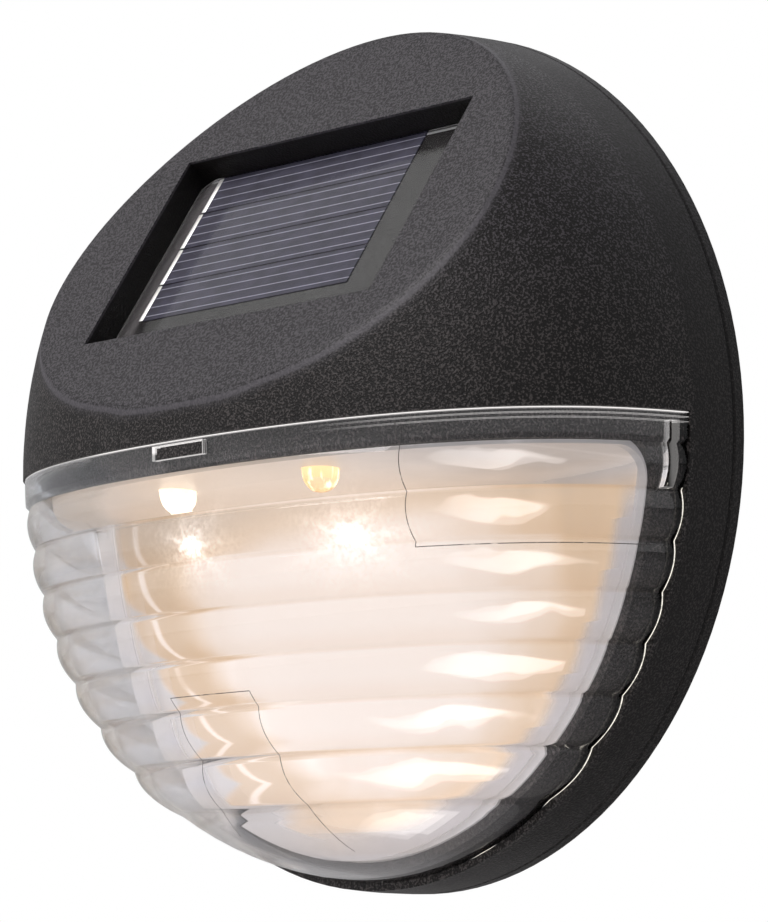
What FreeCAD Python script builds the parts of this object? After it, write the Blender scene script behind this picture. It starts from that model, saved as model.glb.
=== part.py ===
import FreeCAD, Part
import math
import os
from FreeCAD import Placement, Rotation, Vector

# Round solar fence light. Millimetres. The wall face is Y = 0, the light faces -Y, and +Z is up.
# "Depth" below is the distance out from the wall face, so a depth of d lies at Y = -d.

# Shell: one curve, turned about the Y axis, gives the ring, the dome and the lens.
SHELL_RADIUS = 60.0      # outer radius of the round body
SHELL_DEPTH = 46.0       # wall face to the front of the dome
CURVE_START = 9.2        # how far behind the wall face the shell's curve begins
CURVE_FRONT = 3.8        # exponent of the curve in depth: higher is a flatter front
CURVE_SIDE = 2.2         # exponent of the curve in radius
CURVE_POINTS = 9         # points that the shell's curve is drawn through
FRONT_FLAT = 4.0         # radius of the flat spot at the very front of the dome
WALL = 2.0               # moulded wall of the black parts
SEAM_DEPTH = 1.85        # wall face to the seam between back cover and housing
SEAM_BEVEL = 0.3         # bevel on both sides of that seam
RING_DEPTH = 9.8         # wall face to the shoulder that the lens stands on
FLOOR = 2.0              # thickness of that shoulder
PARTING_GAP = 0.1        # gap between housing and lens along the middle
SHELF = 1.6              # floor of the upper compartment

# Sloping face with the pocket of the solar panel
FACET_TILT = 35.0        # degrees back from upright
FACET_DEPTH = 27.7       # depth of the pocket's centre
FACET_HEIGHT = 31.3      # height of the pocket's centre
FACET_WALL = 2.2
POCKET_LENGTH = 58.6
POCKET_WIDTH = 34.4
POCKET_WALL = 1.8
POCKET_FLOOR = 1.6

# Solar panel, from its face inwards
PANEL_SUNK = 3.6         # sloping face to the panel's face
PANEL_CLEARANCE = 0.3
PANEL_CORNER = 3.0
RESIN = 1.1
CELL = 0.25
PANEL_BOARD = 1.2
PANEL_TAPE = 0.5
TAPE_BAND = 4.0          # width of the foam frame behind the panel
CELL_LENGTH = 42.4
CELL_STRIP = 6.65        # height of one strip
CELL_STRIPS = 4
CELL_GAP = 0.15
CELL_LEFT = -25.4        # left end of the strips
CELL_LOW = -10.2         # lower edge of the strips, up the slope from the pocket's centre
LEAD_HOLE_INSET = 9.3    # hole of the panel's leads inside the pocket's left end
LEAD_HOLE_DOWN = 11.0    # and how far down the slope from the pocket's centre
LEAD_HOLE_X = LEAD_HOLE_INSET - POCKET_LENGTH / 2
LEAD_HOLE_RADIUS = 2.4

# Lens
LENS_INSET = 0.25        # lens behind the shell's curve
LENS_WALL = 1.3          # even wall: the inside follows the scallops too
LENS_SLACK = 0.15        # lens to the black spigot inside it
RIB_START = 3.6          # plain band above the first rib
RIB_PITCH = 6.42
RIBS = 7
RIB_RISE = 0.7           # crest over valley
FOOT_STEP = 0.15         # smooth foot below the last valley
RIB_LEVELS = 4           # steps from one valley to the next
SECTION_POINTS = 16      # steps round one rib's section
END_STRIP = 1.6          # strip at each end between the ring and a slot through the wall
SLOT_DEPTH = 1.6
SLOT_HEIGHT = 8.5
SLOT_TOP = 1.2
CATCH_WIDTH = 10.2       # window in the middle of the plain band
CATCH_HEIGHT = 1.9
CATCH_TOP = 0.4
CATCH_SLACK = 0.2

# Black spigot inside the lens, which frames the reflector
SPIGOT_WALL = 1.2
SPIGOT_HEIGHT = 3.3      # below the middle, behind the lens's plain band
SPIGOT_DEPTH = 13.3      # its rim at the sides
SPIGOT_CORNER = 5.4

# Reflector tray
TRAY_SLACK = 0.2
TRAY_WALL = 1.1
TRAY_BACK = 3.4          # back of the tray
TRAY_FLOOR_INSET = 14.0  # edge of the tray's back inside the shell's outer radius
TRAY_SHOULDER_INSET = 7.8
TRAY_BEND = 5.0
LED_X = 14.5             # LEDs left and right of the middle
LED_DEPTH = 32.8
LED_RADIUS = 2.5
LED_FLANGE_RADIUS = 2.9
LED_FLANGE = 1.0
LED_LENGTH = 7.7         # flange to tip
LED_SLACK = 0.15
LED_SINK = 1.1           # flange sunk into the shelf
LEG_RADIUS = 0.25
LEG_SPACING = 2.54

# Circuit board on two posts
BOARD_WIDTH = 46.0
BOARD_BACK = 24.0
BOARD_FRONT = 38.0
BOARD_UNDER = 6.0        # height of its underside
BOARD = 1.2
POST_X = 20.0
POST_DEPTH = 27.0
POST_RADIUS = 2.4
BOARD_CORNER = 1.5
CHIP_WIDTH = 5.0
CHIP_DEEP = 4.0
CHIP_HIGH = 1.5
CHIP_DEPTH = 28.0        # nearer long side of the chip
CHIP_LEGS = 4
CHIP_LEG_PITCH = 1.2
CHIP_LEG = 0.4
CHOKE_LENGTH = 7.0
CHOKE_RADIUS = 1.5
CHOKE_X = 5.0
CHOKE_DEPTH = 30.5
CHOKE_LIFT = 0.3
CHOKE_LEG_REACH = 1.1
CAPACITOR_RADIUS = 2.0
CAPACITOR_HEIGHT = 3.0
CAPACITOR_X = -8.0
TERMINAL_DEPTH = 26.0    # row of solder points along the board's back edge
TERMINAL_RISE = 3.5      # height at which the leads turn down to the board
BATTERY_TERMINAL_X = 15.5
SWITCH_TERMINAL_X = 6.5
PANEL_TERMINAL_X = -17.0
PANEL_TERMINAL_DEPTH = 31.0
LEAD_PAIR = 1.1          # half the spacing of a pair of leads
SWITCH_LEAD_X = 27.0     # where the switch's leads turn round the battery bay
SWITCH_LEAD_RISE = 2.0   # and how far above the cell's axis

# Rechargeable AAA cell in its bay, and the door over it
BATTERY_RADIUS = 5.25
BATTERY_LENGTH = 44.5
BATTERY_NUB_RADIUS = 1.9
BATTERY_NUB = 1.0
BATTERY_Z = 14.2
BATTERY_DEPTH = 9.0
SPRING_ROOM = 5.9        # bay longer than the cell: the spring and both contacts
BAY_LENGTH = BATTERY_LENGTH + SPRING_ROOM
BAY_SLACK = 0.9
BAY_WALL = 1.2
CONTACT = 0.3
CONTACT_HEIGHT = 8.0
CONTACT_TAB = 2.4
CONTACT_REACH = 3.0      # tab through the bay's wall
SPRING_RADIUS = 3.4
SPRING_WIRE = 0.35
SPRING_HALF_TURNS = 7
SPRING_GAP = 0.02        # coil's end to the cell
DOOR_MARGIN = 7.0        # door beyond the bay at each end
DOOR_LIP = 2.3           # door beyond the bay above and below
DOOR_CORNER = 3.0
DOOR_SUNK = 0.35
DOOR = 1.65
DOOR_SEAL = 0.4
SEAL_BAND = 1.2
DOOR_SLACK = 0.3
DOOR_SEAT = 1.3          # cover behind the door
DOOR_SCREW_INSET = 3.5   # screw to the end of the door

# Screws: head radius, head height, shank radius, shank length
COVER_SCREW = (2.0, 1.3, 1.2, 7.0)
DOOR_SCREW = (2.1, 1.2, 1.05, 4.6)
BOARD_SCREW = (2.0, 1.1, 1.0, 3.4)
SCREW_SLACK = 0.05
SCREW_SUNK = 0.5
BOSS_WALL = 1.2
LOW_SCREW_INSET = 5.1    # lower two screws behind the shell's outer radius
LOW_SCREW_ANGLE = 50.0   # below the horizontal
HIGH_SCREW_INSET = 10.5  # upper two
HIGH_SCREW_ANGLE = 43.4  # above the horizontal
CUP_WALL = 0.6
CUP_FLOOR = 1.5

# Seal between cover and housing
SPIGOT_RING = 1.3        # locating ring of the cover
RING_SLACK = 0.2
SEAL = 1.05

# Slide switch behind the cover
SWITCH_INSET = 17.0      # switch inside the shell's outer radius
SWITCH_Z = 14.5
SWITCH_X = SHELL_RADIUS - SWITCH_INSET
SWITCH_WIDTH = 6.6
SWITCH_HEIGHT = 13.0
SWITCH_DEEP = 5.0
SWITCH_FACE = 0.6
SWITCH_TRAVEL = 3.0
KNOB_WIDTH = 3.0
KNOB_HEIGHT = 3.4
KNOB_SUNK = 0.45
FOOT_WIDTH = 4.4
FOOT_HEIGHT = 5.2
FOOT = 1.4
SWITCH_SLACK = 0.25
SWITCH_EAR = 1.0
SWITCH_EAR_REACH = 3.6
PIN_RADIUS = 0.8
PIN_OFFSET = 2.0         # pin beyond the switch body
PIN_HEAD = 0.6
FINGER_WELL = 0.8
FINGER_WELL_MARGIN = 2.5
FINGER_WELL_CORNER = 2.0

# Keyhole for the wall screw
KEY_HEAD_RADIUS = 4.5
KEY_SLOT_RADIUS = 2.2
KEY_Z = 35.0
KEY_RISE = 7.0
KEY_ROOM = 3.0           # room behind it for the screw's head
KEY_MARGIN = 1.0

WIRE_RADIUS = 0.6
WIRE_BEND = 0.45         # share of the shorter run that a bend takes
FAR = 90.0               # beyond every part of the light


# ---------------------------------------------------------------- basic shapes

def block(x_low, x_high, depth_low, depth_high, z_low, z_high):
    """Box between two values of X, of depth and of Z."""
    size = Vector(x_high - x_low, depth_high - depth_low, z_high - z_low)
    return Part.makeBox(size.x, size.y, size.z, Vector(x_low, -depth_high, z_low))


def rod(radius, depth_low, depth_high, x=0.0, z=0.0):
    """Round bar square to the wall."""
    return Part.makeCylinder(radius, depth_high - depth_low, Vector(x, -depth_low, z), Vector(0, -1, 0))


def pillar(radius, z_low, z_high, x, depth):
    """Upright round bar."""
    return Part.makeCylinder(radius, z_high - z_low, Vector(x, -depth, z_low), Vector(0, 0, 1))


def plate(length, height, corner, depth_low, depth_high, x=0.0, z=0.0):
    """Plate parallel to the wall, with rounded corners."""
    slab = block(x - length / 2, x + length / 2, depth_low, depth_high, z - height / 2, z + height / 2)
    edges = [edge for edge in slab.Edges if abs(edge.tangentAt(edge.FirstParameter).y) > 0.99]
    return slab.makeFillet(corner, edges)


def ring(outer, inner, depth_low, depth_high):
    """Flat ring round the light's axis."""
    return rod(outer, depth_low, depth_high).cut(rod(inner, depth_low - 1, depth_high + 1))


def tilted(shape):
    """Moves a shape from the sloping face's own frame (X, up the slope, outwards) onto that face."""
    place = Placement(Vector(0, -FACET_DEPTH, FACET_HEIGHT), Rotation(Vector(1, 0, 0), 90 - FACET_TILT))
    moved = shape.copy()
    moved.Placement = place.multiply(shape.Placement)
    return moved


def sloping_block(length, width, low, high, x=0.0, up=0.0):
    """Box on the sloping face, from one height over that face to another."""
    corner = Vector(x - length / 2, up - width / 2, low)
    return tilted(Part.makeBox(length, width, high - low, corner))


def joined(shapes):
    """One solid from several that meet."""
    return shapes[0].multiFuse(shapes[1:]).removeSplitter()


def wire(route, radius=WIRE_RADIUS):
    """Tube along straight runs with a tangent arc at each point between them."""
    points = [Vector(*place) for place in route]
    edges = []
    start = points[0]
    for before, corner, after in zip(points, points[1:], points[2:]):
        back = before.sub(corner)
        ahead = after.sub(corner)
        reach = WIRE_BEND * min(back.Length, ahead.Length)
        back.normalize()
        ahead.normalize()
        enter = corner + back * reach
        leave = corner + ahead * reach
        half_turn = (math.pi - back.getAngle(ahead)) / 2
        bend = reach / math.tan(half_turn)
        middle_way = (back + ahead).normalize()
        middle = corner + middle_way * (bend / math.cos(half_turn) - bend)
        edges.append(Part.LineSegment(start, enter).toShape())
        edges.append(Part.Arc(enter, middle, leave).toShape())
        start = leave
    edges.append(Part.LineSegment(start, points[-1]).toShape())
    path = Part.Wire(edges)
    along = points[1].sub(points[0])
    section = Part.Wire(Part.makeCircle(radius, points[0], along))
    return path.makePipeShell([section], True, False)


# ---------------------------------------------------------------- the shell's curve

def curve_depth(radius, inset=0.0):
    """Depth of the shell's curve at a radius, with the curve drawn in by the inset."""
    share = min(radius / (SHELL_RADIUS - inset), 1.0)
    reach = SHELL_DEPTH - inset + CURVE_START
    return reach * (1 - share ** CURVE_SIDE) ** (1 / CURVE_FRONT) - CURVE_START


def curve_radius(depth, inset=0.0):
    """Radius of the shell's curve at a depth."""
    share = (depth + CURVE_START) / (SHELL_DEPTH - inset + CURVE_START)
    return (SHELL_RADIUS - inset) * (1 - share ** CURVE_FRONT) ** (1 / CURVE_SIDE)


def dome(inset=0.0):
    """Solid inside the shell's curve, from the wall face to the flat spot at its front."""
    reach = SHELL_DEPTH - inset + CURVE_START
    first = math.asin((CURVE_START / reach) ** (CURVE_FRONT / 2))
    last = math.acos((FRONT_FLAT / (SHELL_RADIUS - inset)) ** (CURVE_SIDE / 2))
    points = []
    for step in range(CURVE_POINTS + 1):
        angle = first + (last - first) * step / CURVE_POINTS
        radius = (SHELL_RADIUS - inset) * math.cos(angle) ** (2 / CURVE_SIDE)
        depth = reach * math.sin(angle) ** (2 / CURVE_FRONT) - CURVE_START
        points.append(Vector(0, -depth, radius))
    curve = Part.BSplineCurve()
    curve.interpolate(Points=points, InitialTangent=Vector(0, -1, 0), FinalTangent=Vector(0, 0, -1))
    wall_centre = Vector(0, 0, 0)
    front_centre = Vector(0, points[-1].y, 0)
    rim = Part.LineSegment(wall_centre, points[0]).toShape()
    flat = Part.LineSegment(points[-1], front_centre).toShape()
    axis = Part.LineSegment(front_centre, wall_centre).toShape()
    profile = Part.Face(Part.Wire([rim, curve.toShape(), flat, axis]))
    return profile.revolve(wall_centre, Vector(0, 1, 0), 360)


def rim_opening(below):
    """Everything in front of the spigot's rim and this far below its upper edge, with a rounded inner corner."""
    top = -SPIGOT_HEIGHT - below
    front = block(-FAR, FAR, SPIGOT_DEPTH, FAR, -FAR, top)
    corner = [edge for edge in front.Edges
              if abs(edge.CenterOfMass.y + SPIGOT_DEPTH) < 0.01 and abs(edge.CenterOfMass.z - top) < 0.01]
    return front.makeFillet(SPIGOT_CORNER - below, corner)


# ---------------------------------------------------------------- screws

def screw_places():
    """X and Z of the four cover screws."""
    places = []
    for inset, angle in ((LOW_SCREW_INSET, -LOW_SCREW_ANGLE), (HIGH_SCREW_INSET, HIGH_SCREW_ANGLE)):
        x = (SHELL_RADIUS - inset) * math.cos(math.radians(angle))
        z = (SHELL_RADIUS - inset) * math.sin(math.radians(angle))
        places += [(x, z), (-x, z)]
    return places


def cup_depth():
    """Depth of the inner end of the cups that hold the cover screws' heads."""
    return SCREW_SUNK + COVER_SCREW[1] + CUP_FLOOR


def cover_screws():
    """Four pan-head screws from the back cover into the housing's bosses."""
    head_radius, head, shank_radius, shank = COVER_SCREW
    screws = []
    for x, z in screw_places():
        top = rod(head_radius, SCREW_SUNK, SCREW_SUNK + head, x, z)
        rim = [edge for edge in top.Edges if abs(edge.CenterOfMass.y + SCREW_SUNK) < 0.01]
        top = top.makeFillet(head * 0.4, rim[:1])
        body = rod(shank_radius, SCREW_SUNK + head, SCREW_SUNK + head + shank - 1, x, z)
        tip = Part.makeCone(shank_radius, shank_radius / 2, 1,
                            Vector(x, -(SCREW_SUNK + head + shank - 1), z), Vector(0, -1, 0))
        screws.append(joined([top, body, tip]))
    return Part.makeCompound(screws)


def door_screw_x():
    return BAY_LENGTH / 2 + DOOR_MARGIN - DOOR_SCREW_INSET


def door_screws():
    """Two countersunk screws that hold the battery door."""
    head_radius, head, shank_radius, shank = DOOR_SCREW
    screws = []
    for side in (-1, 1):
        x = side * door_screw_x()
        start = DOOR_SUNK + SCREW_SLACK
        top = Part.makeCone(head_radius, shank_radius, head, Vector(x, -start, BATTERY_Z), Vector(0, -1, 0))
        body = rod(shank_radius, start + head, start + head + shank, x, BATTERY_Z)
        screws.append(joined([top, body]))
    return Part.makeCompound(screws)


def board_screws():
    """Two pan-head screws that hold the circuit board on its posts."""
    head_radius, head, shank_radius, shank = BOARD_SCREW
    top_of_board = BOARD_UNDER + BOARD
    screws = []
    for x in (-POST_X, POST_X):
        top = pillar(head_radius, top_of_board, top_of_board + head, x, POST_DEPTH)
        body = pillar(shank_radius, top_of_board - shank - BOARD, top_of_board, x, POST_DEPTH)
        screws.append(joined([top, body]))
    return Part.makeCompound(screws)


# ---------------------------------------------------------------- housing

def shelf_top():
    return PARTING_GAP + SHELF


def panel_depths():
    """Heights over the sloping face of the panel's layers, from its face inwards."""
    face = -PANEL_SUNK
    board_top = face - RESIN
    board_back = board_top - PANEL_BOARD
    pocket_floor = board_back - PANEL_TAPE
    return face, board_top, board_back, pocket_floor


def housing_cavity():
    """Room in the housing for the electronics above the shelf and for the tray below it."""
    upper = dome(WALL).cut(block(-FAR, FAR, -1, FAR, -FAR, shelf_top()))
    upper = upper.cut(sloping_block(2 * FAR, 2 * FAR, -FACET_WALL, FAR))
    pocket_floor = panel_depths()[3]
    tub = sloping_block(POCKET_LENGTH + 2 * POCKET_WALL, POCKET_WIDTH + 2 * POCKET_WALL,
                        pocket_floor - POCKET_FLOOR, FAR)
    upper = upper.cut(tub)
    lower = dome(WALL).common(block(-FAR, FAR, -1, RING_DEPTH - FLOOR, -FAR, PARTING_GAP))
    boss_radius = COVER_SCREW[2] + SCREW_SLACK + BOSS_WALL
    bosses = [rod(boss_radius, cup_depth(), FAR, x, z) for x, z in screw_places()]
    posts = [pillar(POST_RADIUS, -1, BOARD_UNDER, x, POST_DEPTH) for x in (-POST_X, POST_X)]
    upper = upper.cut(bosses[2:] + posts)
    lower = lower.cut(bosses[:2])
    return upper, lower


def lens_inner_inset():
    """How far inside the shell's curve the lens's wall reaches, at a valley between two scallops."""
    return LENS_INSET + RIB_RISE + LENS_WALL


def spigot():
    """Black wall that stands inside the lens and frames the reflector."""
    outer_inset = lens_inner_inset() + LENS_SLACK
    shell = dome(outer_inset).cut(dome(outer_inset + SPIGOT_WALL))
    shell = shell.cut(block(-FAR, FAR, -1, RING_DEPTH - FLOOR / 2, -FAR, FAR))
    shell = shell.cut(block(-FAR, FAR, -1, FAR, PARTING_GAP + SHELF / 2, FAR))
    return shell.cut(rim_opening(0))


def catch():
    """Barb in the middle of the spigot, which the window in the lens drops over."""
    width = CATCH_WIDTH - 2 * CATCH_SLACK
    top = -CATCH_TOP - CATCH_SLACK
    barb = block(-width / 2, width / 2, SHELL_DEPTH - 5, SHELL_DEPTH,
                 top - CATCH_HEIGHT + 2 * CATCH_SLACK, top)
    return barb.common(dome(LENS_INSET + LENS_WALL / 2))


def front_housing():
    """Black moulded front: ring, dome, sloping face with the panel's pocket, shelf and spigot."""
    body = dome()
    body = body.cut(block(-FAR, FAR, RING_DEPTH, FAR, -FAR, PARTING_GAP))
    body = body.cut(block(-FAR, FAR, -1, SEAM_DEPTH, -FAR, FAR))
    body = body.cut(sloping_block(2 * FAR, 2 * FAR, 0, FAR))
    upper, lower = housing_cavity()
    body = body.cut([upper, lower])
    tray_room = rod(SHELL_RADIUS - TRAY_SHOULDER_INSET + TRAY_SLACK, 0, FAR)
    tray_room = tray_room.common(block(-FAR, FAR, 0, RING_DEPTH + 1, -FAR, PARTING_GAP))
    body = body.cut(tray_room)
    body = joined([body, spigot(), catch()])
    pocket_floor = panel_depths()[3]
    body = body.cut(sloping_block(POCKET_LENGTH, POCKET_WIDTH, pocket_floor, FAR))
    lead_hole = Part.makeCylinder(LEAD_HOLE_RADIUS, 4 * POCKET_FLOOR,
                                  Vector(LEAD_HOLE_X, -LEAD_HOLE_DOWN, pocket_floor - 2 * POCKET_FLOOR))
    pilots = [rod(COVER_SCREW[2] + SCREW_SLACK, 0, cup_depth() + COVER_SCREW[3] - CUP_FLOOR, x, z)
              for x, z in screw_places()]
    post_pilots = [pillar(BOARD_SCREW[2] + SCREW_SLACK, shelf_top(), BOARD_UNDER + 1, x, POST_DEPTH)
                   for x in (-POST_X, POST_X)]
    led_holes = []
    for x in (-LED_X, LED_X):
        led_holes.append(pillar(LED_RADIUS + LED_SLACK, -1, shelf_top() + 1, x, LED_DEPTH))
        led_holes.append(pillar(LED_FLANGE_RADIUS + LED_SLACK, shelf_top() - LED_SINK, shelf_top() + 1,
                                x, LED_DEPTH))
    seal_rebate = rod(SHELL_RADIUS - WALL + SEAL, 0, SEAM_DEPTH + SEAL)
    body = body.cut([tilted(lead_hole), seal_rebate] + pilots + post_pilots + led_holes)
    seam = [edge for edge in body.Edges
            if abs(edge.BoundBox.YMax + SEAM_DEPTH) < 0.01 and edge.BoundBox.YLength < 0.01
            and edge.BoundBox.XLength > 2 * SHELL_RADIUS - 1]
    return body.makeChamfer(SEAM_BEVEL, seam)


# ---------------------------------------------------------------- back cover

def bay_height():
    return 2 * (BATTERY_RADIUS + BAY_SLACK)


def door_size():
    return BAY_LENGTH + 2 * DOOR_MARGIN, bay_height() + 2 * DOOR_LIP


def door_seat_depth():
    return DOOR_SUNK + DOOR + DOOR_SEAL


def bay_front():
    return BATTERY_DEPTH + BATTERY_RADIUS + BAY_SLACK


def keyhole(depth_low, depth_high):
    """Round entry for a screw's head, with a narrow slot above it."""
    head = rod(KEY_HEAD_RADIUS, depth_low, depth_high, 0, KEY_Z)
    top = rod(KEY_SLOT_RADIUS, depth_low, depth_high, 0, KEY_Z + KEY_RISE)
    slot = block(-KEY_SLOT_RADIUS, KEY_SLOT_RADIUS, depth_low, depth_high, KEY_Z, KEY_Z + KEY_RISE)
    return joined([head, slot, top])


def key_room(margin, depth_high):
    """Block over the keyhole on the cover's inside."""
    half = KEY_HEAD_RADIUS + margin
    return block(-half, half, SEAM_DEPTH / 2, depth_high, KEY_Z - half, KEY_Z + KEY_RISE + half)


def back_cover():
    """Black back disc with the battery bay, the door's seat, screw cups, keyhole and switch opening."""
    disc = rod(curve_radius(0), 0, SEAM_DEPTH)
    rim = [edge for edge in disc.Edges
           if abs(edge.BoundBox.YMin + SEAM_DEPTH) < 0.01 and edge.BoundBox.YLength < 0.01]
    disc = disc.makeChamfer(SEAM_BEVEL, rim)
    locating_outer = curve_radius(SEAM_DEPTH, WALL) - RING_SLACK
    locating = ring(locating_outer, locating_outer - SPIGOT_RING, SEAM_DEPTH / 2, SEAM_DEPTH + 2 * SEAL)
    cup_radius = COVER_SCREW[0] + RING_SLACK + CUP_WALL
    cups = [rod(cup_radius, SEAM_DEPTH / 2, cup_depth(), x, z) for x, z in screw_places()]
    shelf_notch = block(-FAR, FAR, SEAM_DEPTH, FAR, PARTING_GAP - RING_SLACK, shelf_top() + RING_SLACK)
    cup_notches = [rod(cup_radius + RING_SLACK, 0, FAR, x, z) for x, z in screw_places()[:2]]
    locating = locating.cut([shelf_notch] + cup_notches)
    length, height = door_size()
    seat = plate(length + 2 * DOOR_SEAT, height + 2 * DOOR_SEAT, DOOR_CORNER + DOOR_SEAT, SEAM_DEPTH / 2,
                 door_seat_depth() + DOOR_SEAT, 0, BATTERY_Z)
    bay = plate(BAY_LENGTH + 2 * BAY_WALL, bay_height() + 2 * BAY_WALL, BAY_WALL, SEAM_DEPTH / 2,
                bay_front() + BAY_WALL, 0, BATTERY_Z)
    bosses = [rod(DOOR_SCREW[2] + BOSS_WALL, SEAM_DEPTH / 2, DOOR_SUNK + DOOR_SCREW[1] + DOOR_SCREW[3] + 1,
                  side * door_screw_x(), BATTERY_Z) for side in (-1, 1)]
    room = key_room(2 * KEY_MARGIN, SEAM_DEPTH + KEY_ROOM + KEY_MARGIN)
    pins = [rod(PIN_RADIUS, SEAM_DEPTH / 2, SEAM_DEPTH + SWITCH_EAR + PIN_HEAD, SWITCH_X,
                SWITCH_Z + side * (SWITCH_HEIGHT / 2 + PIN_OFFSET)) for side in (-1, 1)]
    body = joined([disc, locating, seat, bay, room] + cups + bosses + pins)
    cuts = [rod(COVER_SCREW[0] + RING_SLACK, -1, SCREW_SUNK + COVER_SCREW[1], x, z) for x, z in screw_places()]
    cuts += [rod(COVER_SCREW[2] + SCREW_SLACK, -1, FAR, x, z) for x, z in screw_places()]
    cuts.append(plate(length + 2 * DOOR_SLACK, height + 2 * DOOR_SLACK, DOOR_CORNER + DOOR_SLACK,
                      -1, door_seat_depth(), 0, BATTERY_Z))
    cuts.append(plate(BAY_LENGTH, bay_height(), BAY_WALL / 2, -1, bay_front(), 0, BATTERY_Z))
    cuts += [rod(DOOR_SCREW[2] + SCREW_SLACK, -1, DOOR_SUNK + DOOR_SCREW[1] + DOOR_SCREW[3] + 0.5,
                 side * door_screw_x(), BATTERY_Z) for side in (-1, 1)]
    cuts += [keyhole(-1, SEAM_DEPTH + 0.5), key_room(KEY_MARGIN, SEAM_DEPTH + KEY_ROOM).common(
        block(-FAR, FAR, SEAM_DEPTH, FAR, -FAR, FAR))]
    half_slot = (SWITCH_TRAVEL + KNOB_HEIGHT) / 2 + SWITCH_SLACK
    cuts.append(block(SWITCH_X - KNOB_WIDTH / 2 - SWITCH_SLACK, SWITCH_X + KNOB_WIDTH / 2 + SWITCH_SLACK,
                      -1, SEAM_DEPTH + 1, SWITCH_Z - half_slot, SWITCH_Z + half_slot))
    cuts.append(plate(KNOB_WIDTH + 2 * FINGER_WELL_MARGIN, 2 * (half_slot + FINGER_WELL_MARGIN),
                      FINGER_WELL_CORNER, -1, FINGER_WELL, SWITCH_X, SWITCH_Z))
    cuts += contact_slots()
    return body.cut(cuts)


def rim_seal():
    """Rubber ring in the rebate between cover and housing."""
    inner = curve_radius(SEAM_DEPTH, WALL) - RING_SLACK
    outer = SHELL_RADIUS - WALL + SEAL
    return ring(outer - RING_SLACK / 2, inner, SEAM_DEPTH, SEAM_DEPTH + SEAL - RING_SLACK / 2)


def battery_door():
    """Flat door over the battery bay."""
    length, height = door_size()
    slab = plate(length, height, DOOR_CORNER, DOOR_SUNK, DOOR_SUNK + DOOR, 0, BATTERY_Z)
    head_radius, head, shank_radius, _ = DOOR_SCREW
    holes = []
    for side in (-1, 1):
        x = side * door_screw_x()
        start = Vector(x, -DOOR_SUNK, BATTERY_Z)
        holes.append(Part.makeCone(head_radius + SCREW_SLACK, shank_radius + SCREW_SLACK, head + SCREW_SLACK,
                                   start, Vector(0, -1, 0)))
        holes.append(rod(shank_radius + SCREW_SLACK, 0, SEAM_DEPTH + 1, x, BATTERY_Z))
    return slab.cut(holes)


def door_seal():
    """Foam ring glued to the door, round the mouth of the bay."""
    start = DOOR_SUNK + DOOR
    outer = plate(BAY_LENGTH + 2 * SEAL_BAND + 0.6, bay_height() + 2 * SEAL_BAND + 0.6, 2.0,
                  start, start + DOOR_SEAL, 0, BATTERY_Z)
    mouth = plate(BAY_LENGTH + 0.6, bay_height() + 0.6, 1.0, 0, FAR, 0, BATTERY_Z)
    return outer.cut(mouth)


# ---------------------------------------------------------------- battery and contacts

def contact_slots():
    """Slots in the bay's inner wall for the contacts' tabs."""
    slots = []
    for side in (-1, 1):
        near = BAY_LENGTH / 2 - CONTACT - RING_SLACK / 2
        x_low, x_high = sorted((side * near, side * (BAY_LENGTH / 2)))
        slots.append(block(x_low, x_high, bay_front() - 1, bay_front() + BAY_WALL + 1,
                           BATTERY_Z - CONTACT_TAB / 2 - RING_SLACK, BATTERY_Z + CONTACT_TAB / 2 + RING_SLACK))
    return slots


def contact_plate(side):
    """Sprung steel plate at one end of the bay, with its tab through the bay's wall."""
    x_low, x_high = sorted((side * (BAY_LENGTH / 2 - CONTACT), side * (BAY_LENGTH / 2)))
    face = block(x_low, x_high, BATTERY_DEPTH - CONTACT_HEIGHT / 2, bay_front(),
                 BATTERY_Z - CONTACT_HEIGHT / 2, BATTERY_Z + CONTACT_HEIGHT / 2)
    tab = block(x_low, x_high, bay_front() - 1, bay_front() + BAY_WALL + CONTACT_REACH,
                BATTERY_Z - CONTACT_TAB / 2, BATTERY_Z + CONTACT_TAB / 2)
    return joined([face, tab])


def battery_start():
    """X of the cell's flat end."""
    return BAY_LENGTH / 2 - CONTACT - BATTERY_LENGTH


def contact_spring():
    """Contact at the cell's flat end: a plate with a coil spring, drawn as tilted half turns."""
    plate_x = -BAY_LENGTH / 2 + CONTACT
    first_x = plate_x + SPRING_WIRE / 2
    last_x = battery_start() - SPRING_WIRE - SPRING_GAP
    step = (last_x - first_x) / SPRING_HALF_TURNS

    def on_coil(half_turns):
        angle = math.pi * half_turns
        return Vector(first_x + step * half_turns, -BATTERY_DEPTH + SPRING_RADIUS * math.cos(angle),
                      BATTERY_Z + SPRING_RADIUS * math.sin(angle))

    turns = [Part.Arc(on_coil(half), on_coil(half + 0.5), on_coil(half + 1)).toShape()
             for half in range(SPRING_HALF_TURNS)]
    section = Part.Wire(Part.makeCircle(SPRING_WIRE, on_coil(0), Vector(0, 0, 1)))
    coil = Part.Wire(turns).makePipeShell([section], True, False)
    return joined([contact_plate(-1), coil])


def battery():
    """Rechargeable AAA cell."""
    centre = Vector(battery_start(), -BATTERY_DEPTH, BATTERY_Z)
    can = Part.makeCylinder(BATTERY_RADIUS, BATTERY_LENGTH - BATTERY_NUB, centre, Vector(1, 0, 0))
    can = can.makeFillet(0.6, [edge for edge in can.Edges if len(edge.Vertexes) == 1])
    nub_start = centre + Vector(BATTERY_LENGTH - BATTERY_NUB, 0, 0)
    return joined([can, Part.makeCylinder(BATTERY_NUB_RADIUS, BATTERY_NUB, nub_start, Vector(1, 0, 0))])


# ---------------------------------------------------------------- switch

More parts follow.
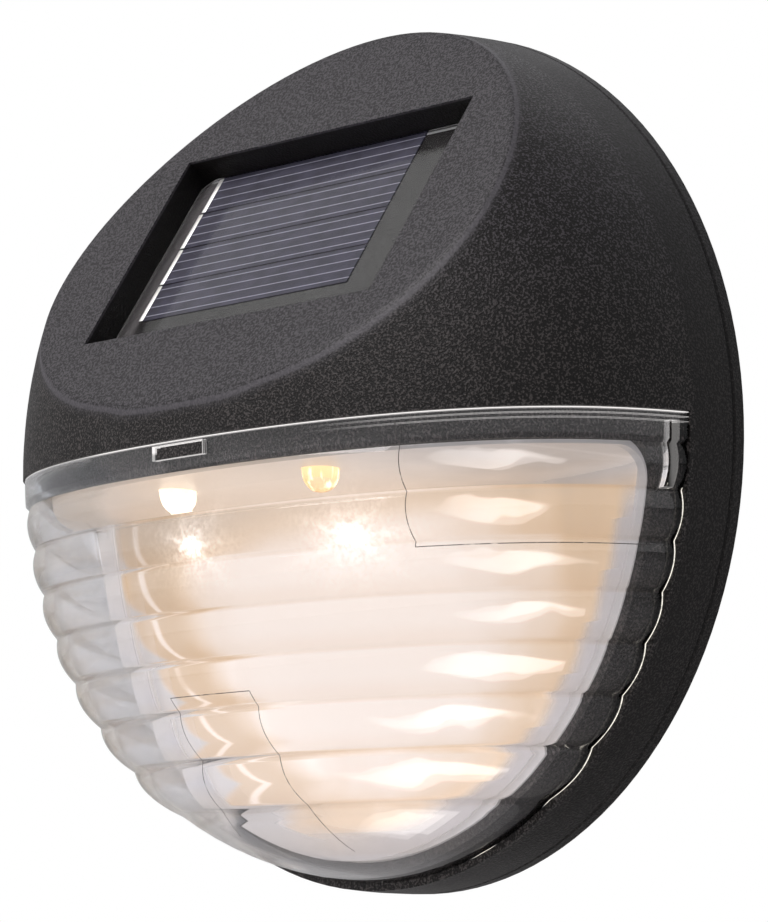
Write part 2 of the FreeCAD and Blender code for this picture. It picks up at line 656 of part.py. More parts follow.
def switch_body():
    """Slide switch on the inside of the cover, with ears over two pins."""
    face = SEAM_DEPTH
    half_width = SWITCH_WIDTH / 2
    half_height = SWITCH_HEIGHT / 2
    body = block(SWITCH_X - half_width, SWITCH_X + half_width, face, face + SWITCH_DEEP,
                 SWITCH_Z - half_height, SWITCH_Z + half_height)
    ears = block(SWITCH_X - half_width, SWITCH_X + half_width, face, face + SWITCH_EAR,
                 SWITCH_Z - half_height - SWITCH_EAR_REACH, SWITCH_Z + half_height + SWITCH_EAR_REACH)
    body = joined([body, ears])
    half_run = (SWITCH_TRAVEL + FOOT_HEIGHT) / 2 + SWITCH_SLACK
    channel = block(SWITCH_X - FOOT_WIDTH / 2 - SWITCH_SLACK, SWITCH_X + FOOT_WIDTH / 2 + SWITCH_SLACK,
                    face + SWITCH_FACE, face + SWITCH_FACE + FOOT + 2 * SWITCH_SLACK,
                    SWITCH_Z - half_run, SWITCH_Z + half_run)
    half_slot = (SWITCH_TRAVEL + KNOB_HEIGHT) / 2 + SWITCH_SLACK
    mouth = block(SWITCH_X - KNOB_WIDTH / 2 - SWITCH_SLACK, SWITCH_X + KNOB_WIDTH / 2 + SWITCH_SLACK,
                  0, face + SWITCH_FACE + 0.5, SWITCH_Z - half_slot, SWITCH_Z + half_slot)
    holes = [rod(PIN_RADIUS + SCREW_SLACK, 0, face + 2 * SWITCH_EAR, SWITCH_X,
                 SWITCH_Z + side * (half_height + PIN_OFFSET)) for side in (-1, 1)]
    return body.cut([channel, mouth] + holes)


def switch_slider():
    """Knob and foot that slide up and down, shown in the lower position."""
    z = SWITCH_Z - SWITCH_TRAVEL / 2
    foot_start = SEAM_DEPTH + SWITCH_FACE + SWITCH_SLACK
    knob = block(SWITCH_X - KNOB_WIDTH / 2, SWITCH_X + KNOB_WIDTH / 2, KNOB_SUNK, foot_start,
                 z - KNOB_HEIGHT / 2, z + KNOB_HEIGHT / 2)
    foot = block(SWITCH_X - FOOT_WIDTH / 2, SWITCH_X + FOOT_WIDTH / 2, foot_start, foot_start + FOOT,
                 z - FOOT_HEIGHT / 2, z + FOOT_HEIGHT / 2)
    return joined([knob, foot])


# ---------------------------------------------------------------- solar panel

def panel_slab(low, high):
    """Rounded slab of the panel's outline, from one height over the sloping face to another."""
    length = POCKET_LENGTH - 2 * PANEL_CLEARANCE
    width = POCKET_WIDTH - 2 * PANEL_CLEARANCE
    slab = Part.makeBox(length, width, high - low, Vector(-length / 2, -width / 2, low))
    upright = [edge for edge in slab.Edges if abs(edge.tangentAt(edge.FirstParameter).z) > 0.99]
    return slab.makeFillet(PANEL_CORNER, upright)


def cell_strips():
    """The strips of the solar cell, as separate solids in the sloping face's frame."""
    board_top = panel_depths()[1]
    strips = []
    for number in range(CELL_STRIPS):
        up = CELL_LOW + number * (CELL_STRIP + CELL_GAP)
        strips.append(Part.makeBox(CELL_LENGTH, CELL_STRIP, CELL, Vector(CELL_LEFT, up, board_top)))
    return strips


def solar_cells():
    return tilted(Part.makeCompound(cell_strips()))


def panel_resin():
    """Clear resin cast over the cells."""
    face, board_top, _, _ = panel_depths()
    return tilted(panel_slab(board_top, face).cut(cell_strips()))


def panel_board():
    _, board_top, board_back, _ = panel_depths()
    return tilted(panel_slab(board_back, board_top))


def panel_tape():
    """Foam frame that holds the panel on the pocket's floor."""
    _, _, board_back, pocket_floor = panel_depths()
    opening = Part.makeBox(POCKET_LENGTH - 2 * TAPE_BAND, POCKET_WIDTH - 2 * TAPE_BAND, 4 * PANEL_TAPE,
                           Vector(TAPE_BAND - POCKET_LENGTH / 2, TAPE_BAND - POCKET_WIDTH / 2,
                                  pocket_floor - PANEL_TAPE))
    return tilted(panel_slab(pocket_floor, board_back).cut(opening))


# ---------------------------------------------------------------- lens

def section_point(angle, z, inset):
    """Point of the shell's curve in a level plane, seen from the middle of the lens's rim."""
    near, far = 0.0, 2 * SHELL_RADIUS
    for _ in range(40):
        reach = (near + far) / 2
        x = reach * math.cos(angle)
        depth = RING_DEPTH + reach * math.sin(angle)
        inside = depth <= curve_depth(math.hypot(x, z), inset)
        near, far = (reach, far) if inside else (near, reach)
    return Vector(near * math.cos(angle), -(RING_DEPTH + near * math.sin(angle)), z)


def rib_section(z, inset):
    """Level section of the lens: a curve from rim to rim, closed along the rim's plane."""
    half_width = math.sqrt(curve_radius(RING_DEPTH, inset) ** 2 - z ** 2)
    points = [Vector(half_width, -RING_DEPTH, z)]
    points += [section_point(math.pi * step / SECTION_POINTS, z, inset) for step in range(1, SECTION_POINTS)]
    points.append(Vector(-half_width, -RING_DEPTH, z))
    curve = Part.BSplineCurve()
    curve.interpolate(points)
    return Part.Wire([curve.toShape(), Part.LineSegment(points[-1], points[0]).toShape()])


def rib(number, inset):
    """One scallop of the lens, from valley to valley."""
    sections = []
    for level in range(RIB_LEVELS + 1):
        across = 2 * level / RIB_LEVELS - 1
        z = -(RIB_START + RIB_PITCH * (number + (1 + across) / 2))
        sections.append(rib_section(z, inset + RIB_RISE * across ** 2))
    return Part.makeLoft(sections, True, False)


def lens_form(inset, top):
    """Solid with the lens's outline: plain band, seven level scallops and a smooth foot."""
    ribs_end = RIB_START + RIBS * RIB_PITCH
    band = dome(inset).common(block(-FAR, FAR, RING_DEPTH, FAR, -RIB_START, top))
    foot = dome(inset + RIB_RISE + FOOT_STEP).common(block(-FAR, FAR, RING_DEPTH, FAR, -FAR, -ribs_end))
    return joined([band, foot] + [rib(number, inset) for number in range(RIBS)])


def lens():
    """Clear scalloped dome below the middle, with a slot near the ring at each end and a catch's window."""
    slot_start = RING_DEPTH + END_STRIP
    openings = [block(-CATCH_WIDTH / 2, CATCH_WIDTH / 2, SHELL_DEPTH - 5, FAR, -CATCH_TOP - CATCH_HEIGHT, -CATCH_TOP)]
    for side in (-1, 1):
        x_low, x_high = sorted((side * (SHELL_RADIUS - 6), side * FAR))
        openings.append(block(x_low, x_high, slot_start, slot_start + SLOT_DEPTH, -SLOT_TOP - SLOT_HEIGHT, -SLOT_TOP))
    return lens_form(LENS_INSET, 0).cut([lens_form(LENS_INSET + LENS_WALL, LENS_WALL)] + openings)


# ---------------------------------------------------------------- reflector and LEDs

def bowl(floor_depth, floor_radius, shoulder_depth, shoulder_radius):
    """Round bowl up to its shoulder: flat back, bend and sloping side, turned about the axis."""
    centre = Vector(0, -floor_depth, 0)
    floor_end = Vector(0, -floor_depth, floor_radius)
    shoulder = Vector(0, -shoulder_depth, shoulder_radius)
    slope = shoulder.sub(floor_end).normalize()
    bend_start = floor_end - Vector(0, 0, TRAY_BEND / 2)
    bend_end = floor_end + slope * (TRAY_BEND / 2)
    bend_middle = (bend_start + bend_end) * 0.25 + floor_end * 0.5
    shoulder_centre = Vector(0, -shoulder_depth, 0)
    outline = Part.Wire([Part.LineSegment(centre, bend_start).toShape(),
                         Part.Arc(bend_start, bend_middle, bend_end).toShape(),
                         Part.LineSegment(bend_end, shoulder).toShape(),
                         Part.LineSegment(shoulder, shoulder_centre).toShape(),
                         Part.LineSegment(shoulder_centre, centre).toShape()])
    return Part.Face(outline).revolve(Vector(0, 0, 0), Vector(0, 1, 0), 360)


def tray_solid(wall):
    """Space inside the tray's skin, with the skin drawn in by the wall."""
    inset = lens_inner_inset() + LENS_SLACK + SPIGOT_WALL + TRAY_SLACK + wall
    shoulder_depth = RING_DEPTH + wall
    front = dome(inset).cut(block(-FAR, FAR, -1, shoulder_depth, -FAR, FAR))
    skin_radius = SHELL_RADIUS - wall
    back = bowl(TRAY_BACK + wall, skin_radius - TRAY_FLOOR_INSET, shoulder_depth,
                skin_radius - TRAY_SHOULDER_INSET)
    return joined([front, back]).common(block(-FAR, FAR, 0, FAR, -FAR, -SPIGOT_HEIGHT - wall))


def reflector():
    """White D-shaped tray: flat back, sloping sides, raised rim and a ceiling that the LEDs look through."""
    body = tray_solid(0).cut([tray_solid(TRAY_WALL), rim_opening(TRAY_WALL)])
    holes = [pillar(LED_RADIUS + LED_SLACK, -SPIGOT_HEIGHT - 2 * TRAY_WALL, 0, x, LED_DEPTH)
             for x in (-LED_X, LED_X)]
    return body.cut(holes)


def led_base():
    return shelf_top() - LED_SINK


def led(side):
    """Clear round LED, flange up and tip down."""
    x = side * LED_X
    base = led_base()
    flange = pillar(LED_FLANGE_RADIUS, base, base + LED_FLANGE, x, LED_DEPTH)
    neck = pillar(LED_RADIUS, base - LED_LENGTH + LED_RADIUS, base, x, LED_DEPTH)
    tip = Part.makeSphere(LED_RADIUS, Vector(x, -LED_DEPTH, base - LED_LENGTH + LED_RADIUS))
    return joined([flange, neck, tip])


def led_legs():
    """Four straight legs between the LEDs and the circuit board."""
    legs = []
    for x in (-LED_X, LED_X):
        for side in (-1, 1):
            legs.append(pillar(LEG_RADIUS, led_base() + LED_FLANGE, BOARD_UNDER, x + side * LEG_SPACING / 2,
                               LED_DEPTH))
    return Part.makeCompound(legs)


# ---------------------------------------------------------------- circuit board

def board_top():
    return BOARD_UNDER + BOARD


def circuit_board():
    board = block(-BOARD_WIDTH / 2, BOARD_WIDTH / 2, BOARD_BACK, BOARD_FRONT, BOARD_UNDER, board_top())
    upright = [edge for edge in board.Edges if abs(edge.tangentAt(edge.FirstParameter).z) > 0.99]
    board = board.makeFillet(BOARD_CORNER, upright)
    holes = [pillar(BOARD_SCREW[2] + RING_SLACK, 0, FAR, x, POST_DEPTH) for x in (-POST_X, POST_X)]
    return board.cut(holes)


def driver_chip():
    """Four-legged charge and boost chip, flat on the board."""
    back = CHIP_DEPTH + CHIP_DEEP
    body = block(-CHIP_WIDTH / 2, CHIP_WIDTH / 2, CHIP_DEPTH, back, board_top() + CHIP_LEG / 4,
                 board_top() + CHIP_HIGH)
    legs = []
    for number in range(CHIP_LEGS):
        x = (number - (CHIP_LEGS - 1) / 2) * CHIP_LEG_PITCH
        legs.append(block(x - CHIP_LEG / 2, x + CHIP_LEG / 2, back, back + 3 * CHIP_LEG,
                          board_top(), board_top() + CHIP_LEG))
    return joined([body] + legs)


def inductor():
    """Axial choke with its two bent legs."""
    z = board_top() + CHOKE_RADIUS + CHOKE_LIFT
    y = -CHOKE_DEPTH
    barrel = Part.makeCylinder(CHOKE_RADIUS, CHOKE_LENGTH, Vector(CHOKE_X, y, z), Vector(1, 0, 0))
    barrel = barrel.makeFillet(CHOKE_RADIUS / 3, [edge for edge in barrel.Edges if len(edge.Vertexes) == 1])
    legs = []
    for end, way in ((CHOKE_X, -1), (CHOKE_X + CHOKE_LENGTH, 1)):
        outside = end + way * CHOKE_LEG_REACH
        legs.append(wire([(end - way * LEG_RADIUS, y, z), (outside, y, z), (outside, y, board_top())],
                         LEG_RADIUS))
    return joined([barrel] + legs)


def capacitor():
    can = pillar(CAPACITOR_RADIUS, board_top(), board_top() + CAPACITOR_HEIGHT, CAPACITOR_X, CHIP_DEPTH)
    top = [edge for edge in can.Edges if edge.BoundBox.ZMin > board_top() + CAPACITOR_HEIGHT / 2]
    return can.makeFillet(CAPACITOR_RADIUS / 5, top[:1])


def lead_end(x, depth):
    """Last two points of a lead: over its solder point, then down to the board."""
    return [(x, -depth, board_top() + TERMINAL_RISE), (x, -depth, board_top())]


def panel_leads():
    """Two wires from the panel's back, through the pocket's floor, down to the board."""
    _, _, board_back, pocket_floor = panel_depths()
    leads = []
    for side in (-1, 1):
        x = LEAD_HOLE_X + side * LEAD_PAIR
        start = tilted(Part.Vertex(x, -LEAD_HOLE_DOWN, board_back)).Point
        clear = tilted(Part.Vertex(x, -LEAD_HOLE_DOWN, pocket_floor - 3 * POCKET_FLOOR)).Point
        leads.append(wire([tuple(start), tuple(clear)]
                          + lead_end(PANEL_TERMINAL_X + side * LEAD_PAIR, PANEL_TERMINAL_DEPTH)))
    return Part.makeCompound(leads)


def battery_leads():
    """Two wires from the contacts' tabs to the board."""
    tab_end = bay_front() + BAY_WALL + CONTACT_REACH
    leads = []
    for side in (-1, 1):
        x = side * (BAY_LENGTH - CONTACT) / 2
        leads.append(wire([(x, -tab_end, BATTERY_Z), (x, -tab_end - CONTACT_REACH, BATTERY_Z)]
                          + lead_end(side * BATTERY_TERMINAL_X, TERMINAL_DEPTH)))
    return Part.makeCompound(leads)


def switch_leads():
    """Two wires from the switch, round the end of the battery bay, to the board."""
    start_depth = SEAM_DEPTH + SWITCH_DEEP
    leads = []
    for side in (-1, 1):
        z = SWITCH_Z + 2 * side * LEAD_PAIR
        depth = TERMINAL_DEPTH + side * LEAD_PAIR
        leads.append(wire([(SWITCH_X, -start_depth, z), (SWITCH_X, -bay_front(), z),
                           (SWITCH_LEAD_X, -depth, BATTERY_Z + SWITCH_LEAD_RISE)]
                          + lead_end(SWITCH_TERMINAL_X, depth)))
    return Part.makeCompound(leads)


# ---------------------------------------------------------------- write the pieces

PIECES = {
    "front_housing": front_housing,
    "back_cover": back_cover,
    "rim_seal": rim_seal,
    "cover_screws": cover_screws,
    "lens": lens,
    "reflector": reflector,
    "led_left": lambda: led(-1),
    "led_right": lambda: led(1),
    "led_legs": led_legs,
    "circuit_board": circuit_board,
    "driver_chip": driver_chip,
    "inductor": inductor,
    "capacitor": capacitor,
    "board_screws": board_screws,
    "panel_resin": panel_resin,
    "solar_cells": solar_cells,
    "panel_board": panel_board,
    "panel_tape": panel_tape,
    "panel_leads": panel_leads,
    "battery": battery,
    "contact_plus": lambda: contact_plate(1),
    "contact_spring": contact_spring,
    "battery_leads": battery_leads,
    "battery_door": battery_door,
    "door_seal": door_seal,
    "door_screws": door_screws,
    "switch_body": switch_body,
    "switch_slider": switch_slider,
    "switch_leads": switch_leads,
}

os.makedirs("parts", exist_ok=True)
for name, make in PIECES.items():
    shape = make()
    print(name, "solids", len(shape.Solids), "valid", shape.isValid(), "volume", round(shape.Volume, 1))
    shape.exportStep("parts/" + name + ".step")
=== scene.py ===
import math
import random

import bmesh
import bpy
from mathutils import Matrix, Vector


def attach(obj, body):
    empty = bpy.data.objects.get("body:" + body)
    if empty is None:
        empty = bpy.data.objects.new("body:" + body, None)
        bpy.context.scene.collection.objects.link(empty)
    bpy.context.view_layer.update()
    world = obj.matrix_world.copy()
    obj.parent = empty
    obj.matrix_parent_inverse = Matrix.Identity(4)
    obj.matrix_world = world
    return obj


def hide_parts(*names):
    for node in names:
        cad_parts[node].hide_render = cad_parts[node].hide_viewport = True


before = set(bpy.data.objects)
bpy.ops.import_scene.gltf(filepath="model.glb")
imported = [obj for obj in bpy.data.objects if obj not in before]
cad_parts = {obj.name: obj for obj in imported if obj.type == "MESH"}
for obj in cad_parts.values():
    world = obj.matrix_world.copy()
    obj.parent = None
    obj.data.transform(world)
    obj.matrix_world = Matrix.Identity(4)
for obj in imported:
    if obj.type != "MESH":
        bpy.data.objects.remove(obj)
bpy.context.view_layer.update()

# ---------------------------------------------------------------- the camera
# A long lens at the light's right, a little below its middle, looking up and to the left.
# Everything here is in metres: the wall face is Y = 0, the light faces -Y and +Z is up.

MM = 0.001
CAMERA_PLACE = Vector((427.07, -408.65, -73.04)) * MM
CAMERA_BACK = Vector((0.7237, -0.6789, -0.1236))
CAMERA_UP = Vector((0.1030, -0.0709, 0.9922))
CAMERA_LENS = 165.87     # for a 36 mm sensor along the picture's long side

back = CAMERA_BACK.normalized()
right = CAMERA_UP.cross(back).normalized()
turn = Matrix((right, back.cross(right), back)).transposed()
camera = bpy.data.objects.new("camera", bpy.data.cameras.new("camera"))
camera.data.lens = CAMERA_LENS
camera.data.sensor_width = 36
camera.matrix_world = Matrix.Translation(CAMERA_PLACE) @ turn.to_4x4()
bpy.context.scene.collection.objects.link(camera)
bpy.context.scene.camera = camera
bpy.context.scene.view_settings.view_transform = "Standard"


# ---------------------------------------------------------------- floor and studio light
# A white sweep all round, a pale matt floor below the light, and two soft boxes above it: a strong one
# in front and a weak one behind. The floor lies lower than the camera, so the first view shows only white.

class Signal:
    """A value in a finish. Arithmetic on it adds Math nodes."""

    def __init__(self, finish, socket):
        self.finish = finish
        self.socket = socket

    def maths(self, operation, *values):
        return self.finish.node("ShaderNodeMath", {"operation": operation}, dict(enumerate(values)))

    def __add__(self, other):
        return self.maths("ADD", self, other)

    def __sub__(self, other):
        return self.maths("SUBTRACT", self, other)

    def __rsub__(self, other):
        return self.maths("SUBTRACT", other, self)

    def __mul__(self, other):
        return self.maths("MULTIPLY", self, other)

    def __truediv__(self, other):
        return self.maths("DIVIDE", self, other)

    def __rpow__(self, other):
        return self.maths("POWER", other, self)

    def __pow__(self, other):
        return self.maths("POWER", self, other)

    def __abs__(self):
        return self.maths("ABSOLUTE", self)

    def __mod__(self, other):
        return self.maths("FLOORED_MODULO", self, other)

    def __lt__(self, other):
        return self.maths("LESS_THAN", self, other)

    def __gt__(self, other):
        return self.maths("GREATER_THAN", self, other)

    def least(self, other):
        return self.maths("MINIMUM", self, other)

    def most(self, other):
        return self.maths("MAXIMUM", self, other)

    def ramp(self, low, high, to_low=0.0, to_high=1.0):
        """Goes from one value to another between two levels, and stays there beyond them."""
        return self.finish.node("ShaderNodeMapRange", {"interpolation_type": "SMOOTHSTEP"},
                                {"Value": self, "From Min": low, "From Max": high,
                                 "To Min": to_low, "To Max": to_high})

    __radd__ = __add__
    __rmul__ = __mul__


class Finish:
    """A material or world made of nodes."""

    def __init__(self, owner, **settings):
        owner.use_nodes = True
        self.owner = owner
        self.tree = owner.node_tree
        self.shader = self.tree.nodes.get("Principled BSDF")
        self.set(**settings)

    def feed(self, socket, value):
        if isinstance(value, Signal):
            self.tree.links.new(value.socket, socket)
        else:
            socket.default_value = value

    def set(self, **settings):
        """Gives the shader's sockets numbers, colours or signals: base_color means Base Color."""
        for name, value in settings.items():
            words = [word.upper() if word == "ior" else word.capitalize() for word in name.split("_")]
            self.feed(self.shader.inputs[" ".join(words)], value)

    def node(self, kind, settings=None, inputs=None, out=0):
        """Adds any node: its settings first, then its sockets' values or links."""
        made = self.tree.nodes.new(kind)
        for name, value in (settings or {}).items():
            setattr(made, name, value)
        for name, value in (inputs or {}).items():
            self.feed(made.inputs[name], value)
        return Signal(self, made.outputs[out])

    def place(self):
        return self.node("ShaderNodeTexCoord", out="Object")

    def along(self, axis, place=None):
        """One coordinate of the surface's place."""
        return self.node("ShaderNodeSeparateXYZ", {}, {0: place or self.place()}, out=axis)

    def noise(self, scale, detail=2.0, roughness=0.5, place=None, stretch=(1, 1, 1)):
        """Noise with grains of about one over the scale, in metres."""
        spot = self.node("ShaderNodeVectorMath", {"operation": "MULTIPLY"},
                         {0: place or self.place(), 1: stretch})
        return self.node("ShaderNodeTexNoise", {}, {"Vector": spot, "Scale": scale, "Detail": detail,
                                                    "Roughness": roughness})

    def mix(self, factor, first, second):
        """Colour between two colours."""
        return self.node("ShaderNodeMix", {"data_type": "RGBA"}, {0: factor, 6: first, 7: second}, out=2)

    def bump(self, height, distance, strength=1.0):
        """Relief of the given height in metres."""
        self.set(normal=self.node("ShaderNodeBump", {}, {"Height": height, "Distance": distance,
                                                         "Strength": strength}))

    def finish_with(self, signal):
        """Sends a shader other than the first to the output."""
        output = self.tree.nodes.get("Material Output") or self.tree.nodes["World Output"]
        self.tree.links.new(signal.socket, output.inputs["Surface"])


def finish(name, colour, **settings):
    """New material with one colour to start from."""
    made = Finish(bpy.data.materials.new(name), base_color=(*colour, 1), **settings)
    made.owner.diffuse_color = (*colour, 1)
    return made


SWEEP = (1.0, 1.0, 1.0, 1)       # what shows behind the light and through its lens
SWEEP_IN_MIRRORS = 0.30          # its darker sides, as reflections show them
AMBIENT = (0.96, 0.96, 1.0, 1)   # what lights matt surfaces
AMBIENT_LEVEL = 0.16

world = bpy.data.worlds.new("sweep")
bpy.context.scene.world = world
sweep = Finish(world)
rays = sweep.node("ShaderNodeLightPath")
seen = [Signal(sweep, rays.socket.node.outputs[name])
        for name in ("Is Camera Ray", "Is Transmission Ray", "Is Glossy Ray")]
sweep_seen = seen[0].most(seen[1]).most(SWEEP_IN_MIRRORS * seen[2])
ambient = sweep.node("ShaderNodeBackground", {}, {"Color": AMBIENT, "Strength": AMBIENT_LEVEL})
white = sweep.node("ShaderNodeBackground", {}, {"Color": SWEEP, "Strength": 1.0})
sweep.finish_with(sweep.node("ShaderNodeMixShader", {}, {0: sweep_seen, 1: ambient, 2: white}))

FLOOR_Z = -0.100
FLOOR_SIZE = 3.0

floor_mesh = bmesh.new()
bmesh.ops.create_grid(floor_mesh, x_segments=8, y_segments=8, size=FLOOR_SIZE,
                      matrix=Matrix.Translation((0, 0, FLOOR_Z)))
floor_data = bpy.data.meshes.new("floor")
floor_mesh.to_mesh(floor_data)
floor = bpy.data.objects.new("floor", floor_data)
bpy.context.scene.collection.objects.link(floor)
floor_finish = finish("floor", (0.86, 0.86, 0.85), roughness=0.85)
floor_finish.bump(floor_finish.noise(300.0, 3.0), 0.0002, 0.2)
floor_data.materials.append(floor_finish.owner)

SOFT_BOXES = {
    # name: (place, width, watts, colour)
    "key": ((-0.45, -0.95, 1.05), 0.70, 9.2, (1.0, 0.965, 0.975)),
    "back": ((-0.30, 0.60, 0.90), 0.60, 0.8, (0.98, 0.97, 1.0)),
}
for name, (place, width, watts, colour) in SOFT_BOXES.items():
    lamp = bpy.data.lights.new(name, "AREA")
    lamp.size = width
    lamp.energy = watts
    lamp.color = colour
    box = bpy.data.objects.new(name, lamp)
    box.location = place
    box.rotation_euler = Vector(place).to_track_quat("Z", "Y").to_euler()
    bpy.context.scene.collection.objects.link(box)


# ---------------------------------------------------------------- black mouldings
# Front housing, back cover and battery door: black ABS with a spark-eroded grain, sparse light tips on
# the round body and an even, paler grain on the sloping face. The tips are painted bluer higher up, where
# the sky lights them, painted highlights run along the sloping face's edge and beside the seam, and the
# panel's pocket is left without the light tips, as painted shade.

ABS_BLACK = (0.0055, 0.0040, 0.0038)
ABS_TIPS = (0.105, 0.093, 0.090)
ABS_TIPS_SKYLIT = (0.120, 0.108, 0.122)    # painted bluer higher up, where the open sky lights them
PAINTED_EDGE_GLINT = (0.17, 0.16, 0.18)
FACET_BLACK = (0.023, 0.0210, 0.0235)
FACET_TIPS = (0.125, 0.117, 0.128)
SEAM_BLACK = (0.001, 0.001, 0.001, 1)
SEAM_GLINTS = (0.45, 0.43, 0.46, 1)
GRAIN = 3200.0           # grains in a metre
SLOPE_GRAIN = 3100.0
GRAIN_DEPTH = 0.20 * MM
POCKET_HALF = (29.6 * MM, 17.5 * MM)
POCKET_BOTTOM = -7 * MM  # below the pocket's floor, so that the cover behind it keeps its grain
RING_Y = (-9.4 * MM, -8.8 * MM)  # where the dome ends and the straight ring begins
FACET_PLACE = Vector((0, -27.7, 31.3)) * MM
FACET_TURN = math.radians(55)    # from level to the slope
SEAM_DEPTH = 1.85 * MM   # where the cover meets the housing
EDGE_REACH = 0.8 * MM    # how far the sloping face's soft edge reaches to each side
SHELL_RADIUS = 60.0 * MM         # the light's outer curve, which the housing and the lens share
SHELL_DEPTH = 46.0 * MM
CURVE_START = 9.2 * MM
CURVE_FRONT = 3.8
CURVE_SIDE = 2.2
CURVE_SLOPE = 28.5 * MM  # turns the curve's excess into a height near the surface


def facet_coordinates(of):
    """Place on the sloping face: X, up the slope, and out of it."""
    return of.node("ShaderNodeMapping", {"vector_type": "TEXTURE"},
                   {"Vector": of.place(), "Location": FACET_PLACE, "Rotation": (FACET_TURN, 0, 0)})


def under_curve(made):
    """How far a point lies under the light's outer curve, as a negative height."""
    x, y, z = (made.along(axis) for axis in "XYZ")
    radius = (x * x + z * z) ** 0.5
    outward = ((CURVE_START - y) / (SHELL_DEPTH + CURVE_START)).most(0.0)
    share = (radius / SHELL_RADIUS) ** CURVE_SIDE + outward ** CURVE_FRONT
    return (share - 1) * CURVE_SLOPE


def black_plastic(name):
    """Grained black ABS, with a soft edge round the sloping face."""
    made = finish(name, ABS_BLACK, specular_ior_level=0.4)
    coarse = made.noise(GRAIN, 2.0, 0.55)
    fine = made.noise(SLOPE_GRAIN, 2.0, 0.5)
    on_slope = facet_coordinates(made)
    over_facet = made.along("Z", on_slope)
    on_facet = over_facet.ramp(-1.3 * MM, -0.1 * MM)
    in_length = abs(made.along("X", on_slope)) < POCKET_HALF[0]
    in_width = abs(made.along("Y", on_slope)) < POCKET_HALF[1]
    sunk = over_facet.ramp(-0.5 * MM, -0.15 * MM, 1.0, 0.0) * (over_facet > POCKET_BOTTOM)
    # in the panel's pocket the grain's light tips and the slope's paler colour are left out, as painted shade
    shaded_pocket = in_length * in_width * sunk
    on_ring = made.along("Y").ramp(*RING_Y)
    tips = coarse.ramp(0.51, 0.60) * (1 - shaded_pocket) * (1 - 0.6 * on_ring)
    # the grain's tips are painted bluer higher up, where the sky lights them
    sky = made.mix(made.along("Z").ramp(5 * MM, 32 * MM), (*ABS_TIPS, 1), (*ABS_TIPS_SKYLIT, 1))
    body = made.mix(tips, (*ABS_BLACK, 1), sky)
    slope = made.mix(fine.ramp(0.42, 0.60), (*FACET_BLACK, 1), (*FACET_TIPS, 1))
    slope = made.mix(shaded_pocket, slope, (*ABS_BLACK, 1))
    from_seam = made.along("Y") + SEAM_DEPTH
    seam = abs(from_seam).ramp(0.05 * MM, 0.11 * MM, 1.0, 0.0)
    # painted glints in dots beside the seam's dark line
    beside_seam = abs(from_seam + 0.12 * MM).ramp(0.05 * MM, 0.10 * MM, 1.0, 0.0)
    seam_glints = made.noise(420.0, 1.0).ramp(0.52, 0.58) * beside_seam
    # painted highlight along the sloping face's edge, left out in the pocket
    painted_edge_glint = abs(over_facet + 0.35 * MM).ramp(0.12 * MM, 0.3 * MM, 0.5, 0.0) * (1 - shaded_pocket)
    skin = made.mix(painted_edge_glint, made.mix(on_facet, body, slope), (*PAINTED_EDGE_GLINT, 1))
    skin = made.mix(seam_glints, made.mix(seam, skin, SEAM_BLACK), SEAM_GLINTS)
    made.set(base_color=skin, roughness=0.40 + 0.16 * made.noise(60.0, 2.0))
    nearest = over_facet.least(under_curve(made))
    softened = (nearest + EDGE_REACH).most(0.0) ** 2.0 / (4 * EDGE_REACH)
    grain = (coarse * (1 - on_facet) + 0.35 * fine * on_facet) * GRAIN_DEPTH
    made.bump(grain - softened, 1.0)
    return made


abs_finish = black_plastic("black_abs")
for node in ("front_housing", "back_cover", "battery_door"):
    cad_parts[node].data.materials[0] = abs_finish.owner


# ---------------------------------------------------------------- seals and foam
# Black rubber ring between cover and housing, and grey foam under the battery door and the panel.
# The ring is moulded and the foam cut from sheet: both are dull, the foam with fine pores.

rubber = finish("seal_rubber", (0.020, 0.020, 0.021), roughness=0.75)
rubber.bump(rubber.noise(3500.0, 2.0), 0.03 * MM, 0.5)
foam = finish("foam", (0.085, 0.085, 0.088), roughness=0.95)
pores = foam.node("ShaderNodeTexVoronoi", {}, {"Vector": foam.place(), "Scale": 2200.0}, out="Distance")
foam.set(base_color=foam.mix(pores, (0.04, 0.04, 0.042, 1), (0.13, 0.13, 0.135, 1)))
foam.bump(pores, 0.12 * MM, 0.8)
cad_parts["rim_seal"].data.materials[0] = rubber.owner
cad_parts["door_seal"].data.materials[0] = foam.owner
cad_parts["panel_tape"].data.materials[0] = foam.owner


# ---------------------------------------------------------------- screws
# Zinc-plated self-tapping screws with a cross recess: pan heads in the cover and on the board,
# countersunk heads in the battery door. The thread is rolled on the shank.

SCREW_STEPS = 40         # faces round a head
RECESS = 0.52            # share of the head's radius that the cross reaches
RECESS_ARM = 0.15        # half the width of an arm, as a share of the radius
RECESS_TAPER = 0.72      # how much narrower the cross is at its bottom
RECESS_DEPTH = 0.62      # share of the head's height
PAN_TOP = 0.80           # radius of a pan head's flat top, as a share of the head's
SUNK_TOP = 0.96          # the same for a countersunk head
TAPER_START = 0.85       # share of the shank at which its point begins, and the point's radius
POINT_RADIUS = 0.3
THREADED = 0.82          # share of the shank that has thread
THREAD_PITCH = 0.9 * MM
THREAD_STEPS = 20        # steps in a turn of thread
THREAD_PROFILE = (0.2 * MM, 0.65 * MM, 0.43 * MM)    # below the head: its start, end and crest
THREAD_CREST = 0.04 * MM


